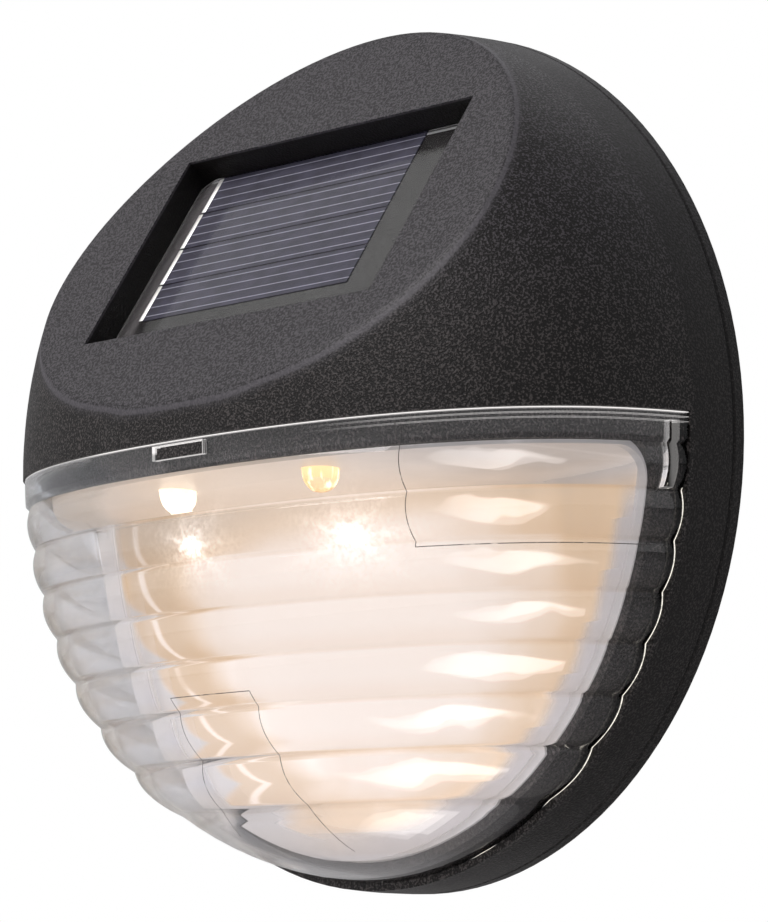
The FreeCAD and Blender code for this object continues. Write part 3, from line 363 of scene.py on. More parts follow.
def piece(name, mesh, material, body, replaces=(), sharp=32):
    """Turns a bmesh into a named piece of the light that rides on a body."""
    for edge in mesh.edges:
        edge.smooth = len(edge.link_faces) == 2 and edge.calc_face_angle(0) < math.radians(sharp)
    for face in mesh.faces:
        face.smooth = True
    data = bpy.data.meshes.new(name)
    mesh.to_mesh(data)
    mesh.free()
    made = bpy.data.objects.new(name, data)
    bpy.context.scene.collection.objects.link(made)
    data.materials.append(material.owner)
    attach(made, body)
    if replaces:
        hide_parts(*replaces)
    return made


def outline(mesh, points, closed=True):
    """A chain of edges through the points, for spinning or extruding."""
    made = [mesh.verts.new(point) for point in points]
    pairs = list(zip(made, made[1:])) + ([(made[-1], made[0])] if closed else [])
    return made + [mesh.edges.new(pair) for pair in pairs]


def full_turn(mesh, geometry, steps):
    """Spins a profile once round the upright axis through the origin."""
    bmesh.ops.spin(mesh, geom=geometry, cent=(0, 0, 0), axis=(0, 0, 1), dvec=(0, 0, 0),
                   angle=2 * math.pi, steps=steps, use_merge=True, use_duplicate=False)


def cross_screw(mesh, size, place, towards, countersunk=False):
    """Adds one screw: its head's top is at the place and its shank points the other way."""
    head_radius, head, shank_radius, shank = size
    new = bmesh.new()
    if countersunk:
        rim = [(head_radius, -0.05 * head), (shank_radius, -head)]
    else:
        rim = [(head_radius * (PAN_TOP + (1 - PAN_TOP) * math.sin(step * math.pi / 8)),
                -head * (0.45 - 0.45 * math.cos(step * math.pi / 8))) for step in range(1, 5)]
        rim += [(head_radius, -head), (shank_radius, -head)]
    start = (head_radius * (SUNK_TOP if countersunk else PAN_TOP), 0.0)
    profile = [start] + rim + [(shank_radius, -head - shank * TAPER_START),
                               (shank_radius * POINT_RADIUS, -head - shank), (0, -head - shank)]
    full_turn(new, outline(new, [(r, 0, z) for r, z in profile], closed=False), SCREW_STEPS)
    bmesh.ops.remove_doubles(new, verts=new.verts, dist=1e-7)
    ring = [edge for edge in new.edges if edge.is_boundary]
    arm, reach = RECESS_ARM * head_radius, RECESS * head_radius
    corner = [(reach, -arm), (reach, arm), (arm, arm)]
    cross = [Matrix.Rotation(quarter * math.pi / 2, 2) @ Vector(point)
             for quarter in range(4) for point in corner]
    loop = outline(new, [(point.x, point.y, 0) for point in cross])
    edges = [item for item in loop if isinstance(item, bmesh.types.BMEdge)]
    bmesh.ops.triangle_fill(new, edges=ring + edges, use_beauty=True)
    sunk = bmesh.ops.extrude_edge_only(new, edges=edges)["geom"]
    deep = [item for item in sunk if isinstance(item, bmesh.types.BMVert)]
    for vert in deep:
        vert.co = Vector((vert.co.x * RECESS_TAPER, vert.co.y * RECESS_TAPER, -head * RECESS_DEPTH))
    bmesh.ops.contextual_create(new, geom=[item for item in sunk if isinstance(item, bmesh.types.BMEdge)])
    turns = int(shank * THREADED / THREAD_PITCH)
    root = shank_radius * 0.96
    ridge_start, ridge_end, crest = THREAD_PROFILE
    ridge = outline(new, [(root, 0, -head - ridge_start), (root, 0, -head - ridge_end),
                          (shank_radius + THREAD_CREST, 0, -head - crest)])
    ends = bmesh.ops.spin(new, geom=ridge, cent=(0, 0, 0), axis=(0, 0, 1),
                          dvec=(0, 0, -THREAD_PITCH / THREAD_STEPS), angle=2 * math.pi * turns,
                          steps=THREAD_STEPS * turns, use_merge=False, use_duplicate=False)
    last = [item for item in ends["geom_last"] if isinstance(item, bmesh.types.BMVert)]
    first = [item for item in ridge if isinstance(item, bmesh.types.BMVert)]
    new.faces.new(first)
    new.faces.new(last)
    bmesh.ops.recalc_face_normals(new, faces=new.faces)
    turned = Vector(towards).to_track_quat("Z", "Y").to_matrix().to_4x4()
    new.transform(Matrix.Translation(place) @ turned)
    data = bpy.data.meshes.new("screw")
    new.to_mesh(data)
    new.free()
    mesh.from_mesh(data)
    bpy.data.meshes.remove(data)


zinc = finish("screw_steel", (0.42, 0.42, 0.44), metallic=1.0, roughness=0.34)
zinc.set(base_color=zinc.mix(zinc.noise(700.0, 3.0), (0.34, 0.34, 0.36, 1), (0.52, 0.51, 0.50, 1)),
         roughness=0.28 + 0.18 * zinc.noise(1500.0, 2.0))

# each screw: head's radius and height, shank's radius and length
COVER_SCREW = (2.0 * MM, 1.3 * MM, 1.16 * MM, 7.0 * MM)
COVER_SCREW_SUNK = 0.5 * MM
LOW_SCREWS = (54.9 * MM, -50.0)      # distance from the middle, and angle
HIGH_SCREWS = (49.5 * MM, 43.4)

cover_screws = bmesh.new()
for distance, angle in (LOW_SCREWS, HIGH_SCREWS):
    for side in (-1, 1):
        spot = Vector((side * distance * math.cos(math.radians(angle)), -COVER_SCREW_SUNK,
                       distance * math.sin(math.radians(angle))))
        cross_screw(cover_screws, COVER_SCREW, spot, (0, 1, 0))
piece("cover_screw_set", cover_screws, zinc, "light", ["cover_screws"])

DOOR_SCREW = (2.1 * MM, 1.2 * MM, 1.0 * MM, 4.6 * MM)
DOOR_SCREW_X = 28.7 * MM
CELL_AXIS_Z = 14.2 * MM
DOOR_FACE = 0.40 * MM

door_screws = bmesh.new()
for side in (-1, 1):
    spot = Vector((side * DOOR_SCREW_X, -DOOR_FACE, CELL_AXIS_Z))
    cross_screw(door_screws, DOOR_SCREW, spot, (0, 1, 0), countersunk=True)
piece("door_screw_pair", door_screws, zinc, "door", ["door_screws"])

BOARD_SCREW = (2.0 * MM, 1.1 * MM, 0.96 * MM, 4.6 * MM)
BOARD_TOP = 7.2 * MM
POST = (20.0 * MM, 27.0 * MM)

board_screws = bmesh.new()
for side in (-1, 1):
    spot = Vector((side * POST[0], -POST[1], BOARD_TOP + BOARD_SCREW[1]))
    cross_screw(board_screws, BOARD_SCREW, spot, (0, 0, 1))
piece("board_screw_pair", board_screws, zinc, "light", ["board_screws"])


# ---------------------------------------------------------------- reflector tray
# White polystyrene moulding behind the lens. Its glow is painted light: the warm light that the two LEDs
# under its ceiling flood it with, and the amber zigzag that the lens's scallops throw on its left wall. Its
# flange lies on the housing's black rim and has a painted glow as well.

RIB_START = 3.6 * MM             # where the lens's scallops begin, below its top edge
RIB_PITCH = 6.42 * MM
TRAY_WHITE = (0.56, 0.55, 0.545)
WARM = (1.0, 0.65, 0.31, 1)
WARM_WHITE = (1.0, 0.885, 0.79, 1)
DIM = (1.0, 0.97, 0.97, 1)       # painted dimmer light near the rim, where only daylight reaches
AMBER = (1.0, 0.63, 0.27, 1)
TRAY_PAINTED_SHADE = (0.56, 0.56, 0.58, 1)    # painted shade between the amber zigzag and the rim
POOL = (-12.0 * MM, -22.0 * MM)  # X and height of the middle of the painted pool of light
POOL_HALF = (50.0 * MM, 31.0 * MM)
FULL = 0.79                      # how bright the painted pool of light is, its edge, and the share of it left on the ceiling
EDGE_OF_POOL = 0.44
CEILING = 0.58
CLOUDS = 0.45                    # how much noise blurs the pool's edge
STREAKS = 0.6
TRAY_RADIUS = 53.0 * MM
TRAY_RIM_Y = -13.3 * MM
WALL_SHARE = 0.9                 # share of the wall's depth that counts as distance from the rim
ZIGZAG = 5 * MM                  # how far the painted amber light swings at each scallop
RAGGED = 6 * MM
AMBER_FADE = (8 * MM, 15 * MM)   # where it fades, down the wall
AMBER_LOSS = 0.33                # how much darker it is
FOLD_IN = 4.5 * MM               # painted bright fold of light in it, and how much it adds
FOLD_GAIN = 0.8
STREAK_IN = 6 * MM               # painted streak of light beside the rim at the right


def in_scallop(up):
    """Place in a scallop at a height: nothing at its upper crease and one at its lower."""
    return (0.0 - up - RIB_START) / RIB_PITCH % 1.0


def crease(place):
    """One at the creases and nothing at a scallop's middle."""
    return abs(place - 0.5) * 2


tray = finish("white_plastic", TRAY_WHITE, roughness=0.35, emission_strength=1.0)
tray.owner.cycles.emission_sampling = "NONE"
at_x, at_y, at_z = (tray.along(axis) for axis in "XYZ")
# The glow is painted light: a pool of the LEDs' light, less on the ceiling and dimmer near the rim, an amber
# zigzag with painted shade beside it, and bright folds and streaks.
off_x, off_z = (at_x - POOL[0]) / POOL_HALF[0], (at_z - POOL[1]) / POOL_HALF[1]
off_pool = (off_x * off_x + off_z * off_z) ** 0.5
cloud = tray.noise(55.0, 3.0, 0.55)
streak = tray.noise(150.0, 2.0, 0.5, stretch=(1, 1, 0.10))
level = (off_pool + CLOUDS * (cloud - 0.5)).ramp(0.40, 1.15, FULL, EDGE_OF_POOL)
level = level * (1 + STREAKS * (streak - 0.5) * off_pool.ramp(0.7, 1.0))
near_rim = at_y.ramp(-13.0 * MM, -5.0 * MM, 1.0, 0.0) * off_pool.ramp(0.9, 1.15)
above = at_z.ramp(-8.5 * MM, -4.0 * MM)
dim = near_rim.most(above * at_x.ramp(5 * MM, 45 * MM, 0.35, 0.9))
level = level * (1 - (1 - CEILING) * above) * (1 - 0.35 * near_rim)
lit = tray.mix(level.ramp(0.48, 0.79), WARM, WARM_WHITE)
fold = crease(in_scallop(at_z))
from_rim = TRAY_RADIUS - (at_x * at_x + at_z * at_z) ** 0.5
down_wall = from_rim + WALL_SHARE * (at_y - TRAY_RIM_Y).most(0.0)
jag = down_wall - fold * fold * ZIGZAG - RAGGED * (cloud - 0.5)
on_left = at_x.ramp(-22 * MM, -8 * MM, 1.0, 0.0) * at_z.ramp(-8 * MM, -4 * MM, 1.0, 0.4)
painted_amber_light = jag.ramp(-0.5 * MM, 1.5 * MM) * jag.ramp(*AMBER_FADE, 1.0, 0.0) * on_left
lit = tray.mix(painted_amber_light * (0.75 + 0.25 * cloud.ramp(0.4, 0.6)), lit, AMBER)
lit = tray.mix(jag.ramp(-0.5 * MM, 1.5 * MM, 1.0, 0.0) * on_left, lit, TRAY_PAINTED_SHADE)
bright = abs(jag - FOLD_IN).ramp(0.2 * MM, 1.0 * MM, 0.9, 0.0) * painted_amber_light * streak.ramp(0.3, 0.5)
painted_right_streak = 0.4 * abs(from_rim - STREAK_IN).ramp(0.3 * MM, 1.0 * MM, 1.0, 0.0)
bright = bright + painted_right_streak * at_x.ramp(25 * MM, 40 * MM)
lit = tray.mix(bright, lit, WARM_WHITE)
level = level * (1 - AMBER_LOSS * painted_amber_light) * (1 + FOLD_GAIN * bright)
tray.set(emission_color=tray.node("ShaderNodeVectorMath", {"operation": "SCALE"},
                                  {0: tray.mix(dim, lit, DIM), "Scale": level}))
tray.bump(tray.noise(900.0, 2.0), 0.02 * MM, 0.4)
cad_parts["reflector"].data.materials[0] = tray.owner

FLANGE_RADII = (49.6 * MM, 56.2 * MM)
FLANGE_RIGHT = 53.9 * MM         # it narrows to a lip at the right
FLANGE_DEPTHS = (13.35 * MM, 13.75 * MM)
FLANGE_ENDS = (8.0, 2.0)         # degrees below level at which it starts and stops
FLANGE_STEPS = 72
MILKY = (0.42, 0.41, 0.42)
# painted glow of the lip, at the right and on the left in its scallops and at their creases
LIP_GLOW_RIGHT = (0.36, 0.34, 0.335, 1)
LIP_GLOW_IN_SCALLOP = (0.44, 0.41, 0.38, 1)
LIP_GLOW_AT_CREASE = (0.43, 0.43, 0.45, 1)
LIP_STEP = 0.9 * MM              # how far its inner edge steps at each scallop
LIP_EDGE = (52.4 * MM, 52.9 * MM)

flange = bmesh.new()
inside, outside = FLANGE_RADII
shallow, deep = FLANGE_DEPTHS
corners = [(inside, -shallow), (outside, -shallow), (outside, -deep), (inside, -deep)]
start = math.radians(FLANGE_ENDS[0])
section = outline(flange, [(radius * math.cos(start), y, -radius * math.sin(start)) for radius, y in corners])
spun = bmesh.ops.spin(flange, geom=section, cent=(0, 0, 0), axis=(0, 1, 0), dvec=(0, 0, 0),
                      angle=math.radians(180 - sum(FLANGE_ENDS)), steps=FLANGE_STEPS, use_merge=False,
                      use_duplicate=False)
flange.faces.new([item for item in section if isinstance(item, bmesh.types.BMVert)])
flange.faces.new([item for item in spun["geom_last"] if isinstance(item, bmesh.types.BMVert)])
for vert in flange.verts:
    radius = math.hypot(vert.co.x, vert.co.z)
    if radius > FLANGE_RIGHT:
        to_left = min(max(0.5 - vert.co.x / radius, 0.0), 1.0)
        wanted = FLANGE_RIGHT + (outside - FLANGE_RIGHT) * to_left
        vert.co.x, vert.co.z = vert.co.x * wanted / radius, vert.co.z * wanted / radius
bmesh.ops.recalc_face_normals(flange, faces=flange.faces)
milky = finish("milky_plastic", MILKY, roughness=0.4, emission_strength=1.0)
milky.owner.cycles.emission_sampling = "NONE"
x, z = milky.along("X"), milky.along("Z")
from_axis = (x * x + z * z) ** 0.5
step = ((0.0 - z) / RIB_PITCH % 1.0) * LIP_STEP
fold = crease(in_scallop(z))
left_lip_glow = milky.mix(fold * fold, LIP_GLOW_IN_SCALLOP, LIP_GLOW_AT_CREASE)
thick = (from_axis - step).ramp(inside, LIP_EDGE[1]) * z.ramp(-15 * MM, -7 * MM, 1.0, 0.0)
to_left = x.ramp(-30 * MM, 20 * MM, 1.0, 0.0)
left_alpha = to_left * from_axis.ramp(*LIP_EDGE)
milky.set(emission_color=milky.mix(to_left, LIP_GLOW_RIGHT, left_lip_glow),
          alpha=(thick * (1 - to_left)).most(left_alpha))
milky.bump(milky.noise(900.0, 2.0), 0.02 * MM, 0.4)
piece("tray_flange", flange, milky, "light")


# ---------------------------------------------------------------- LEDs
# Two 5 mm LEDs, clear epoxy cast round a tinned lead frame: a cup with the chip under yellow phosphor,
# and a second post with an arm towards it. They are lit.


def see_through(made, tint=(1, 1, 1, 1)):
    """Lets lamps shine through a clear piece."""
    ray = made.node("ShaderNodeLightPath", out="Is Shadow Ray")
    clear = made.node("ShaderNodeBsdfTransparent", {}, {"Color": tint})
    shader = Signal(made, made.shader.outputs["BSDF"])
    made.finish_with(made.node("ShaderNodeMixShader", {}, {0: ray, 1: shader, 2: clear}))


epoxy = finish("led_resin", (1.0, 0.96, 0.88), roughness=0.02, transmission_weight=1.0, ior=1.53,
               emission_strength=1.0)
epoxy.owner.cycles.emission_sampling = "NONE"
up_led = epoxy.along("Z")
swirl = epoxy.noise(900.0, 2.0, 0.6, stretch=(1, 1, 0.4))
amber = epoxy.mix(up_led.ramp(-6.6 * MM, -4.2 * MM), (0.24, 0.10, 0.01, 1), (0.34, 0.21, 0.08, 1))
cream = epoxy.mix(up_led.ramp(-6.6 * MM, -4.2 * MM), (0.74, 0.71, 0.66, 1), (0.56, 0.42, 0.25, 1))
cast = epoxy.mix(epoxy.along("X") > 0, cream, amber)
epoxy.set(emission_color=epoxy.mix(swirl.ramp(0.54, 0.70), cast, (1.0, 0.90, 0.72, 1)))
see_through(epoxy)
for node in ("led_left", "led_right"):
    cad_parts[node].data.materials[0] = epoxy.owner

tin = finish("tinned_wire", (0.62, 0.61, 0.60), metallic=1.0, roughness=0.30)
tin.set(roughness=0.24 + 0.2 * tin.noise(1600.0, 2.0))
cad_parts["led_legs"].data.materials[0] = tin.owner

phosphor = finish("phosphor", (1.0, 0.80, 0.25), roughness=0.5, emission_strength=1.6)
phosphor.owner.cycles.emission_sampling = "NONE"
heart = phosphor.noise(2500.0, 1.0).ramp(0.3, 0.7)
phosphor.set(emission_color=phosphor.mix(heart, (1.0, 0.72, 0.34, 1), (1.0, 0.93, 0.76, 1)))

LED_X = 14.5 * MM
LED_DEPTH = 32.8 * MM
LEG_TOP = 1.5 * MM
LEG_OFF = 1.27 * MM
LEG_THICK = 0.5 * MM
CUP_RADIUS = 0.95 * MM
CUP_Z = -3.4 * MM
CUP_OFF = -0.35 * MM     # the cup stands left of the LED's middle
CUP_PROFILE = [(0, 1.3 * MM), (CUP_RADIUS, 1.3 * MM), (CUP_RADIUS, 0), (CUP_RADIUS * 0.85, -0.1 * MM),
               (CUP_RADIUS * 0.45, 0.5 * MM), (0, 0.5 * MM)]
LEGS = ((-LEG_OFF, 0.5 * MM, CUP_Z + 0.9 * MM), (LEG_OFF, 0.42 * MM, CUP_Z + 0.1 * MM))  # X, width, low end
ARM = (1.1 * MM, 0.5 * MM, 0.35 * MM)    # from the second post towards the cup


def bar(mesh, middle, size, turned=0.0):
    """Adds a bar, turned about Z."""
    place = Matrix.Translation(middle) @ Matrix.Rotation(turned, 4, "Z") @ Matrix.Diagonal((*size, 1))
    bmesh.ops.create_cube(mesh, size=1.0, matrix=place)


def round_off(mesh, edges, offset, segments):
    """Rounds a mesh's edges."""
    bmesh.ops.bevel(mesh, geom=edges, offset=offset, segments=segments, profile=0.5, affect="EDGES",
                    material=-1)


for side, word in ((-1, "left"), (1, "right")):
    lead_frame = bmesh.new()
    cup = outline(lead_frame, [(radius, 0, up) for radius, up in CUP_PROFILE], closed=False)
    full_turn(lead_frame, cup, 24)
    bmesh.ops.remove_doubles(lead_frame, verts=lead_frame.verts, dist=1e-7)
    lead_frame.transform(Matrix.Translation((CUP_OFF, 0, CUP_Z)))
    for off, width, low in LEGS:
        bar(lead_frame, (off * 0.9, 0, (low + LEG_TOP) / 2), (width, LEG_THICK, LEG_TOP - low))
    bar(lead_frame, (LEG_OFF * 0.55, 0, CUP_Z + 0.25 * MM), ARM)
    sharp_edges = [edge for edge in lead_frame.edges if edge.calc_face_angle(0) > 0.7]
    round_off(lead_frame, sharp_edges, 0.06 * MM, 2)
    bmesh.ops.recalc_face_normals(lead_frame, faces=lead_frame.faces)
    lead_frame.transform(Matrix.Translation((side * LED_X, -LED_DEPTH, 0)))
    piece("led_frame_" + word, lead_frame, tin, "light")
    drop = bmesh.new()
    drop_place = Matrix.Translation((side * LED_X + CUP_OFF, -LED_DEPTH, CUP_Z + 0.05 * MM))
    bmesh.ops.create_uvsphere(drop, u_segments=20, v_segments=10, radius=CUP_RADIUS * 0.72,
                              matrix=drop_place @ Matrix.Diagonal((1, 1, 0.55, 1)))
    piece("led_phosphor_" + word, drop, phosphor, "light")


# ---------------------------------------------------------------- circuit board and its parts
# Single-sided green board on two posts: charge and boost chip, axial choke, small electrolytic
# capacitor, and PVC-covered leads from the panel, the cell and the switch.

board = finish("board_green", (0.015, 0.10, 0.035), roughness=0.32, coat_weight=0.4)
tracks = board.node("ShaderNodeTexBrick", {"offset": 0.37},
                    {"Vector": board.place(), "Scale": 160.0, "Mortar Size": 0.03, "Color1": (0, 0, 0, 1),
                     "Color2": (0, 0, 0, 1), "Mortar": (1, 1, 1, 1)}, out="Fac")
board.set(base_color=board.mix(tracks, (0.012, 0.085, 0.030, 1), (0.030, 0.16, 0.055, 1)))
board.bump(tracks, 0.03 * MM, 0.6)
chip = finish("chip_black", (0.012, 0.012, 0.013), roughness=0.55)
on_leg = chip.along("Y") < -32.02 * MM
chip.set(base_color=chip.mix(on_leg, (0.012, 0.012, 0.013, 1), (0.6, 0.6, 0.6, 1)), metallic=on_leg)
chip.bump(chip.noise(5000.0, 2.0), 0.01 * MM, 0.4)
choke = finish("choke_green", (0.05, 0.26, 0.13), roughness=0.3, coat_weight=0.3)
at_choke = choke.along("X")
band = abs((at_choke - 5.9 * MM) % (1.3 * MM) - 0.65 * MM) < 0.22 * MM
body_span = (at_choke > 5.0 * MM) * (at_choke < 12.0 * MM)
banded = choke.mix(band, (0.05, 0.26, 0.13, 1), (0.30, 0.11, 0.02, 1))
choke.set(base_color=choke.mix(body_span, (0.6, 0.6, 0.6, 1), banded), metallic=1 - body_span)
can = finish("can_aluminium", (0.75, 0.75, 0.76), metallic=1.0, roughness=0.35)
sleeve = can.along("Z") < 9.6 * MM
can.set(base_color=can.mix(sleeve, (0.75, 0.75, 0.76, 1), (0.012, 0.014, 0.03, 1)), metallic=1 - sleeve)
cable = finish("wire_cover", (0.35, 0.012, 0.010), roughness=0.42)
other_side = cable.along("X") > 0.0
cable.set(base_color=cable.mix(other_side, (0.35, 0.012, 0.010, 1), (0.014, 0.014, 0.015, 1)))
cable.bump(cable.noise(1200.0, 1.0), 0.02 * MM, 0.3)
for node, made in (("circuit_board", board), ("driver_chip", chip), ("inductor", choke), ("capacitor", can),
                   ("panel_leads", cable), ("battery_leads", cable), ("switch_leads", cable)):
    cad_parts[node].data.materials[0] = made.owner


# ---------------------------------------------------------------- battery and contacts
# Rechargeable AAA cell in a plain unprinted sleeve, with bare steel at both ends, between a nickel-plated
# spring and a plate.

wrap = finish("cell_wrap", (0.02, 0.16, 0.09), roughness=0.28, coat_weight=0.5)
at_cell = wrap.along("X")
steel_end = (at_cell > 23.4 * MM).most(at_cell < -19.1 * MM)
white_band = (at_cell > 15.0 * MM) * (at_cell < 22.0 * MM)
sleeve_colour = wrap.mix(white_band, (0.02, 0.16, 0.09, 1), (0.78, 0.78, 0.76, 1))
wrap.set(base_color=wrap.mix(steel_end, sleeve_colour, (0.62, 0.61, 0.60, 1)), metallic=steel_end)
wrap.bump(wrap.noise(500.0, 2.0), 0.02 * MM, 0.25)
nickel = finish("contact_steel", (0.66, 0.64, 0.61), metallic=1.0, roughness=0.26)
nickel.set(roughness=0.2 + 0.2 * nickel.noise(900.0, 3.0))
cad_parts["battery"].data.materials[0] = wrap.owner
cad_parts["contact_plus"].data.materials[0] = nickel.owner
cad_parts["contact_spring"].data.materials[0] = nickel.owner


# ---------------------------------------------------------------- solar panel
# Four strips of silicon cell side by side on a dark board, each with a tinned ribbon at its left end,
# under cast clear resin with a rounded edge. It lies sunk in the sloping face.

facet = Matrix.Translation(FACET_PLACE) @ Matrix.Rotation(FACET_TURN, 4, "X")
PANEL_SIZE = (58.0 * MM, 33.8 * MM)
PANEL_CORNER = 3.0 * MM
PANEL_FACE = -3.6 * MM
CELL_BASE = -4.7 * MM
STRIP_LEFT = -25.4 * MM
STRIP_LENGTH = 42.4 * MM
STRIP_LOW = -10.2 * MM
STRIP = 6.65 * MM
STRIP_PITCH = 6.80 * MM
STRIP_THICK = 0.23 * MM
STRIPS = 4
FINGERS = 4
FINGER_WIDTH = 0.13 * MM

silicon = finish("cell_blue", (0.030, 0.029, 0.050), roughness=0.30, specular_ior_level=0.25)
on_panel = facet_coordinates(silicon)
up_slope = silicon.along("Y", on_panel) - STRIP_LOW
in_strip = up_slope % STRIP_PITCH
finger = abs(in_strip % (STRIP / FINGERS) - STRIP / FINGERS / 2) < FINGER_WIDTH / 2
crystal = silicon.noise(260.0, 4.0, place=on_panel, stretch=(1, 2.2, 1))
silicon.set(base_color=silicon.mix(finger, silicon.mix(crystal.ramp(0.35, 0.65), (0.026, 0.025, 0.044, 1),
                                                       (0.040, 0.038, 0.066, 1)), (0.34, 0.34, 0.42, 1)),
            roughness=0.26 + 0.12 * crystal)

cells = bmesh.new()
for number in range(STRIPS):
    middle = Vector((STRIP_LEFT + STRIP_LENGTH / 2, STRIP_LOW + number * STRIP_PITCH + STRIP / 2,
                     CELL_BASE + 0.135 * MM))
    bar(cells, middle, (STRIP_LENGTH, STRIP, STRIP_THICK))
round_off(cells, cells.edges[:], 0.04 * MM, 1)
cells.transform(facet)
piece("cell_strips", cells, silicon, "light", ["solar_cells"])

ribbon = finish("ribbon", (0.86, 0.86, 0.84), metallic=0.7, roughness=0.38)
ribbon.set(roughness=0.3 + 0.25 * ribbon.noise(2200.0, 2.0))
RIBBON = 0.85 * MM
RIBBON_THICK = 0.12 * MM
ribbons = bmesh.new()
random.seed(4)
for number in range(STRIPS):
    low = STRIP_LOW + number * STRIP_PITCH + 0.12 * MM
    middle = Vector((STRIP_LEFT - 0.15 * MM + random.uniform(-0.12, 0.12) * MM, low + STRIP / 2 - 0.12 * MM,
                     CELL_BASE + 0.33 * MM))
    bar(ribbons, middle, (RIBBON, STRIP - 0.2 * MM, RIBBON_THICK), random.uniform(-0.012, 0.012))
round_off(ribbons, ribbons.edges[:], 0.03 * MM, 2)
ribbons.transform(facet)
piece("cell_ribbon", ribbons, ribbon, "light")

TOP_EDGE_Y = 16.55 * MM  # painted highlight along the board's upper edge, where the resin's brim catches light
panel_back = finish("panel_back", (0.020, 0.019, 0.018), roughness=0.8, specular_ior_level=0.1)
board_dark = panel_back.mix(panel_back.noise(120.0, 2.0), (0.008, 0.007, 0.008, 1), (0.015, 0.014, 0.015, 1))
right_of_margin = panel_back.along("X").ramp(-27 * MM, -25 * MM)
board_dark = panel_back.mix(right_of_margin, (0.085, 0.080, 0.085, 1), board_dark)
top_edge_highlight = abs(panel_back.along("Y", facet_coordinates(panel_back)) - TOP_EDGE_Y) < 0.22 * MM
panel_back.set(base_color=panel_back.mix(top_edge_highlight, board_dark, (0.34, 0.34, 0.36, 1)))
panel_back.bump(panel_back.noise(300.0, 1.0), 0.01 * MM, 0.2)
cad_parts["panel_board"].data.materials[0] = panel_back.owner

resin = finish("panel_resin", (0.97, 0.97, 0.95), roughness=0.08, transmission_weight=1.0, ior=1.28)
resin.bump(resin.noise(45.0, 1.0), 0.05 * MM, 0.25)
see_through(resin)
slab = bmesh.new()
bar(slab, (0, 0, (PANEL_FACE + CELL_BASE) / 2), (*PANEL_SIZE, PANEL_FACE - CELL_BASE - 0.04 * MM))
upright = [edge for edge in slab.edges if abs(edge.verts[0].co.z - edge.verts[1].co.z) > 0.5 * MM]
round_off(slab, upright, PANEL_CORNER, 10)
brim = [edge for edge in slab.edges if min(vert.co.z for vert in edge.verts) > PANEL_FACE - 0.1 * MM]
round_off(slab, brim, 0.35 * MM, 4)
slab.transform(facet)
piece("panel_glaze", slab, resin, "light", ["panel_resin"])


# ---------------------------------------------------------------- switch
# Small slide switch behind the cover: black nylon body and knob, worked with a fingertip.

nylon = finish("switch_plastic", (0.016, 0.016, 0.017), roughness=0.42)
nylon.bump(nylon.noise(2600.0, 2.0), 0.03 * MM, 0.5)
nylon.set(roughness=0.36 + 0.14 * nylon.noise(300.0, 2.0))
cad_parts["switch_body"].data.materials[0] = nylon.owner
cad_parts["switch_slider"].data.materials[0] = nylon.owner


# ---------------------------------------------------------------- lens
# Clear polystyrene half dome with an even wall and seven level scallops, which spread the light. A plain
# band along its top has a window for the housing's catch, and each end a slot. Its glow is painted: the light
# that its edges and foot pipe out, the LEDs' glare and a leaf-shaped highlight on each scallop. It also has
# painted shade on the scallops' lower halves and a painted milky sheen where it is seen edge-on.

RING_DEPTH = 9.8 * MM
LENS_INSET = 0.25 * MM
LENS_WALL = 1.3 * MM
RIBS = 7
RIB_RISE = 0.7 * MM
INNER_RISE = 0.66 * MM   # the scallops are a little milder on the inside
RIB_STEPS = 12
FOOT_STEPS = 10
SLOT_ANGLES = (1.55, 3.12)   # degrees between which each end's slot lies
SLOT_X = 50 * MM             # further out than this there are only the slots
SLOT_DEPTHS = (11.4 * MM, 13.0 * MM)
SLOT_HEIGHTS = (-1.2 * MM, -9.7 * MM)
CATCH_ANGLE = 8.1            # degrees from the middle to each end of the catch's window
CATCH_HALF = 5.1 * MM
CATCH_HEIGHTS = (-0.4 * MM, -2.3 * MM)
BAND_LEVEL = -2.9 * MM       # one more level in the plain band
COLUMNS = 46                 # from each slot to the window


def curve_depth(radius, inset):
    """Depth of the light's outer curve at a radius, drawn in by the inset."""
    share = min(radius / (SHELL_RADIUS - inset), 1.0)
    reach = SHELL_DEPTH - inset + CURVE_START
    return reach * (1 - share ** CURVE_SIDE) ** (1 / CURVE_FRONT) - CURVE_START


def curve_radius(depth, inset):
    """Radius of that curve at a depth."""
    share = (depth + CURVE_START) / (SHELL_DEPTH - inset + CURVE_START)
    return (SHELL_RADIUS - inset) * (1 - share ** CURVE_FRONT) ** (1 / CURVE_SIDE)


def shell_point(angle, z, inset):
    """Point of the curve in a level plane, seen from the middle of the lens's rim."""
    near, far = 0.0, 2 * SHELL_RADIUS
    for _ in range(34):
        reach = (near + far) / 2
        x = reach * math.cos(angle)
        depth = RING_DEPTH + reach * math.sin(angle)
        inside = depth <= curve_depth(math.hypot(x, z), inset)
        near, far = (reach, far) if inside else (near, reach)
    return Vector((near * math.cos(angle), -RING_DEPTH - near * math.sin(angle), z))


def rib_inset(z, inner=False):
    """How far the scallops draw the lens's face in at a height."""
    below = -z - RIB_START
    if below <= 0:
        return 0.0
    if below >= RIBS * RIB_PITCH:
        return RIB_RISE
    across = 2 * (below / RIB_PITCH % 1) - 1
    if inner:
        return RIB_RISE + INNER_RISE * (across ** 2 - 1)
    return RIB_RISE * across ** 2


def spaced(low, high, steps):
    return [low + (high - low) * step / steps for step in range(steps)]


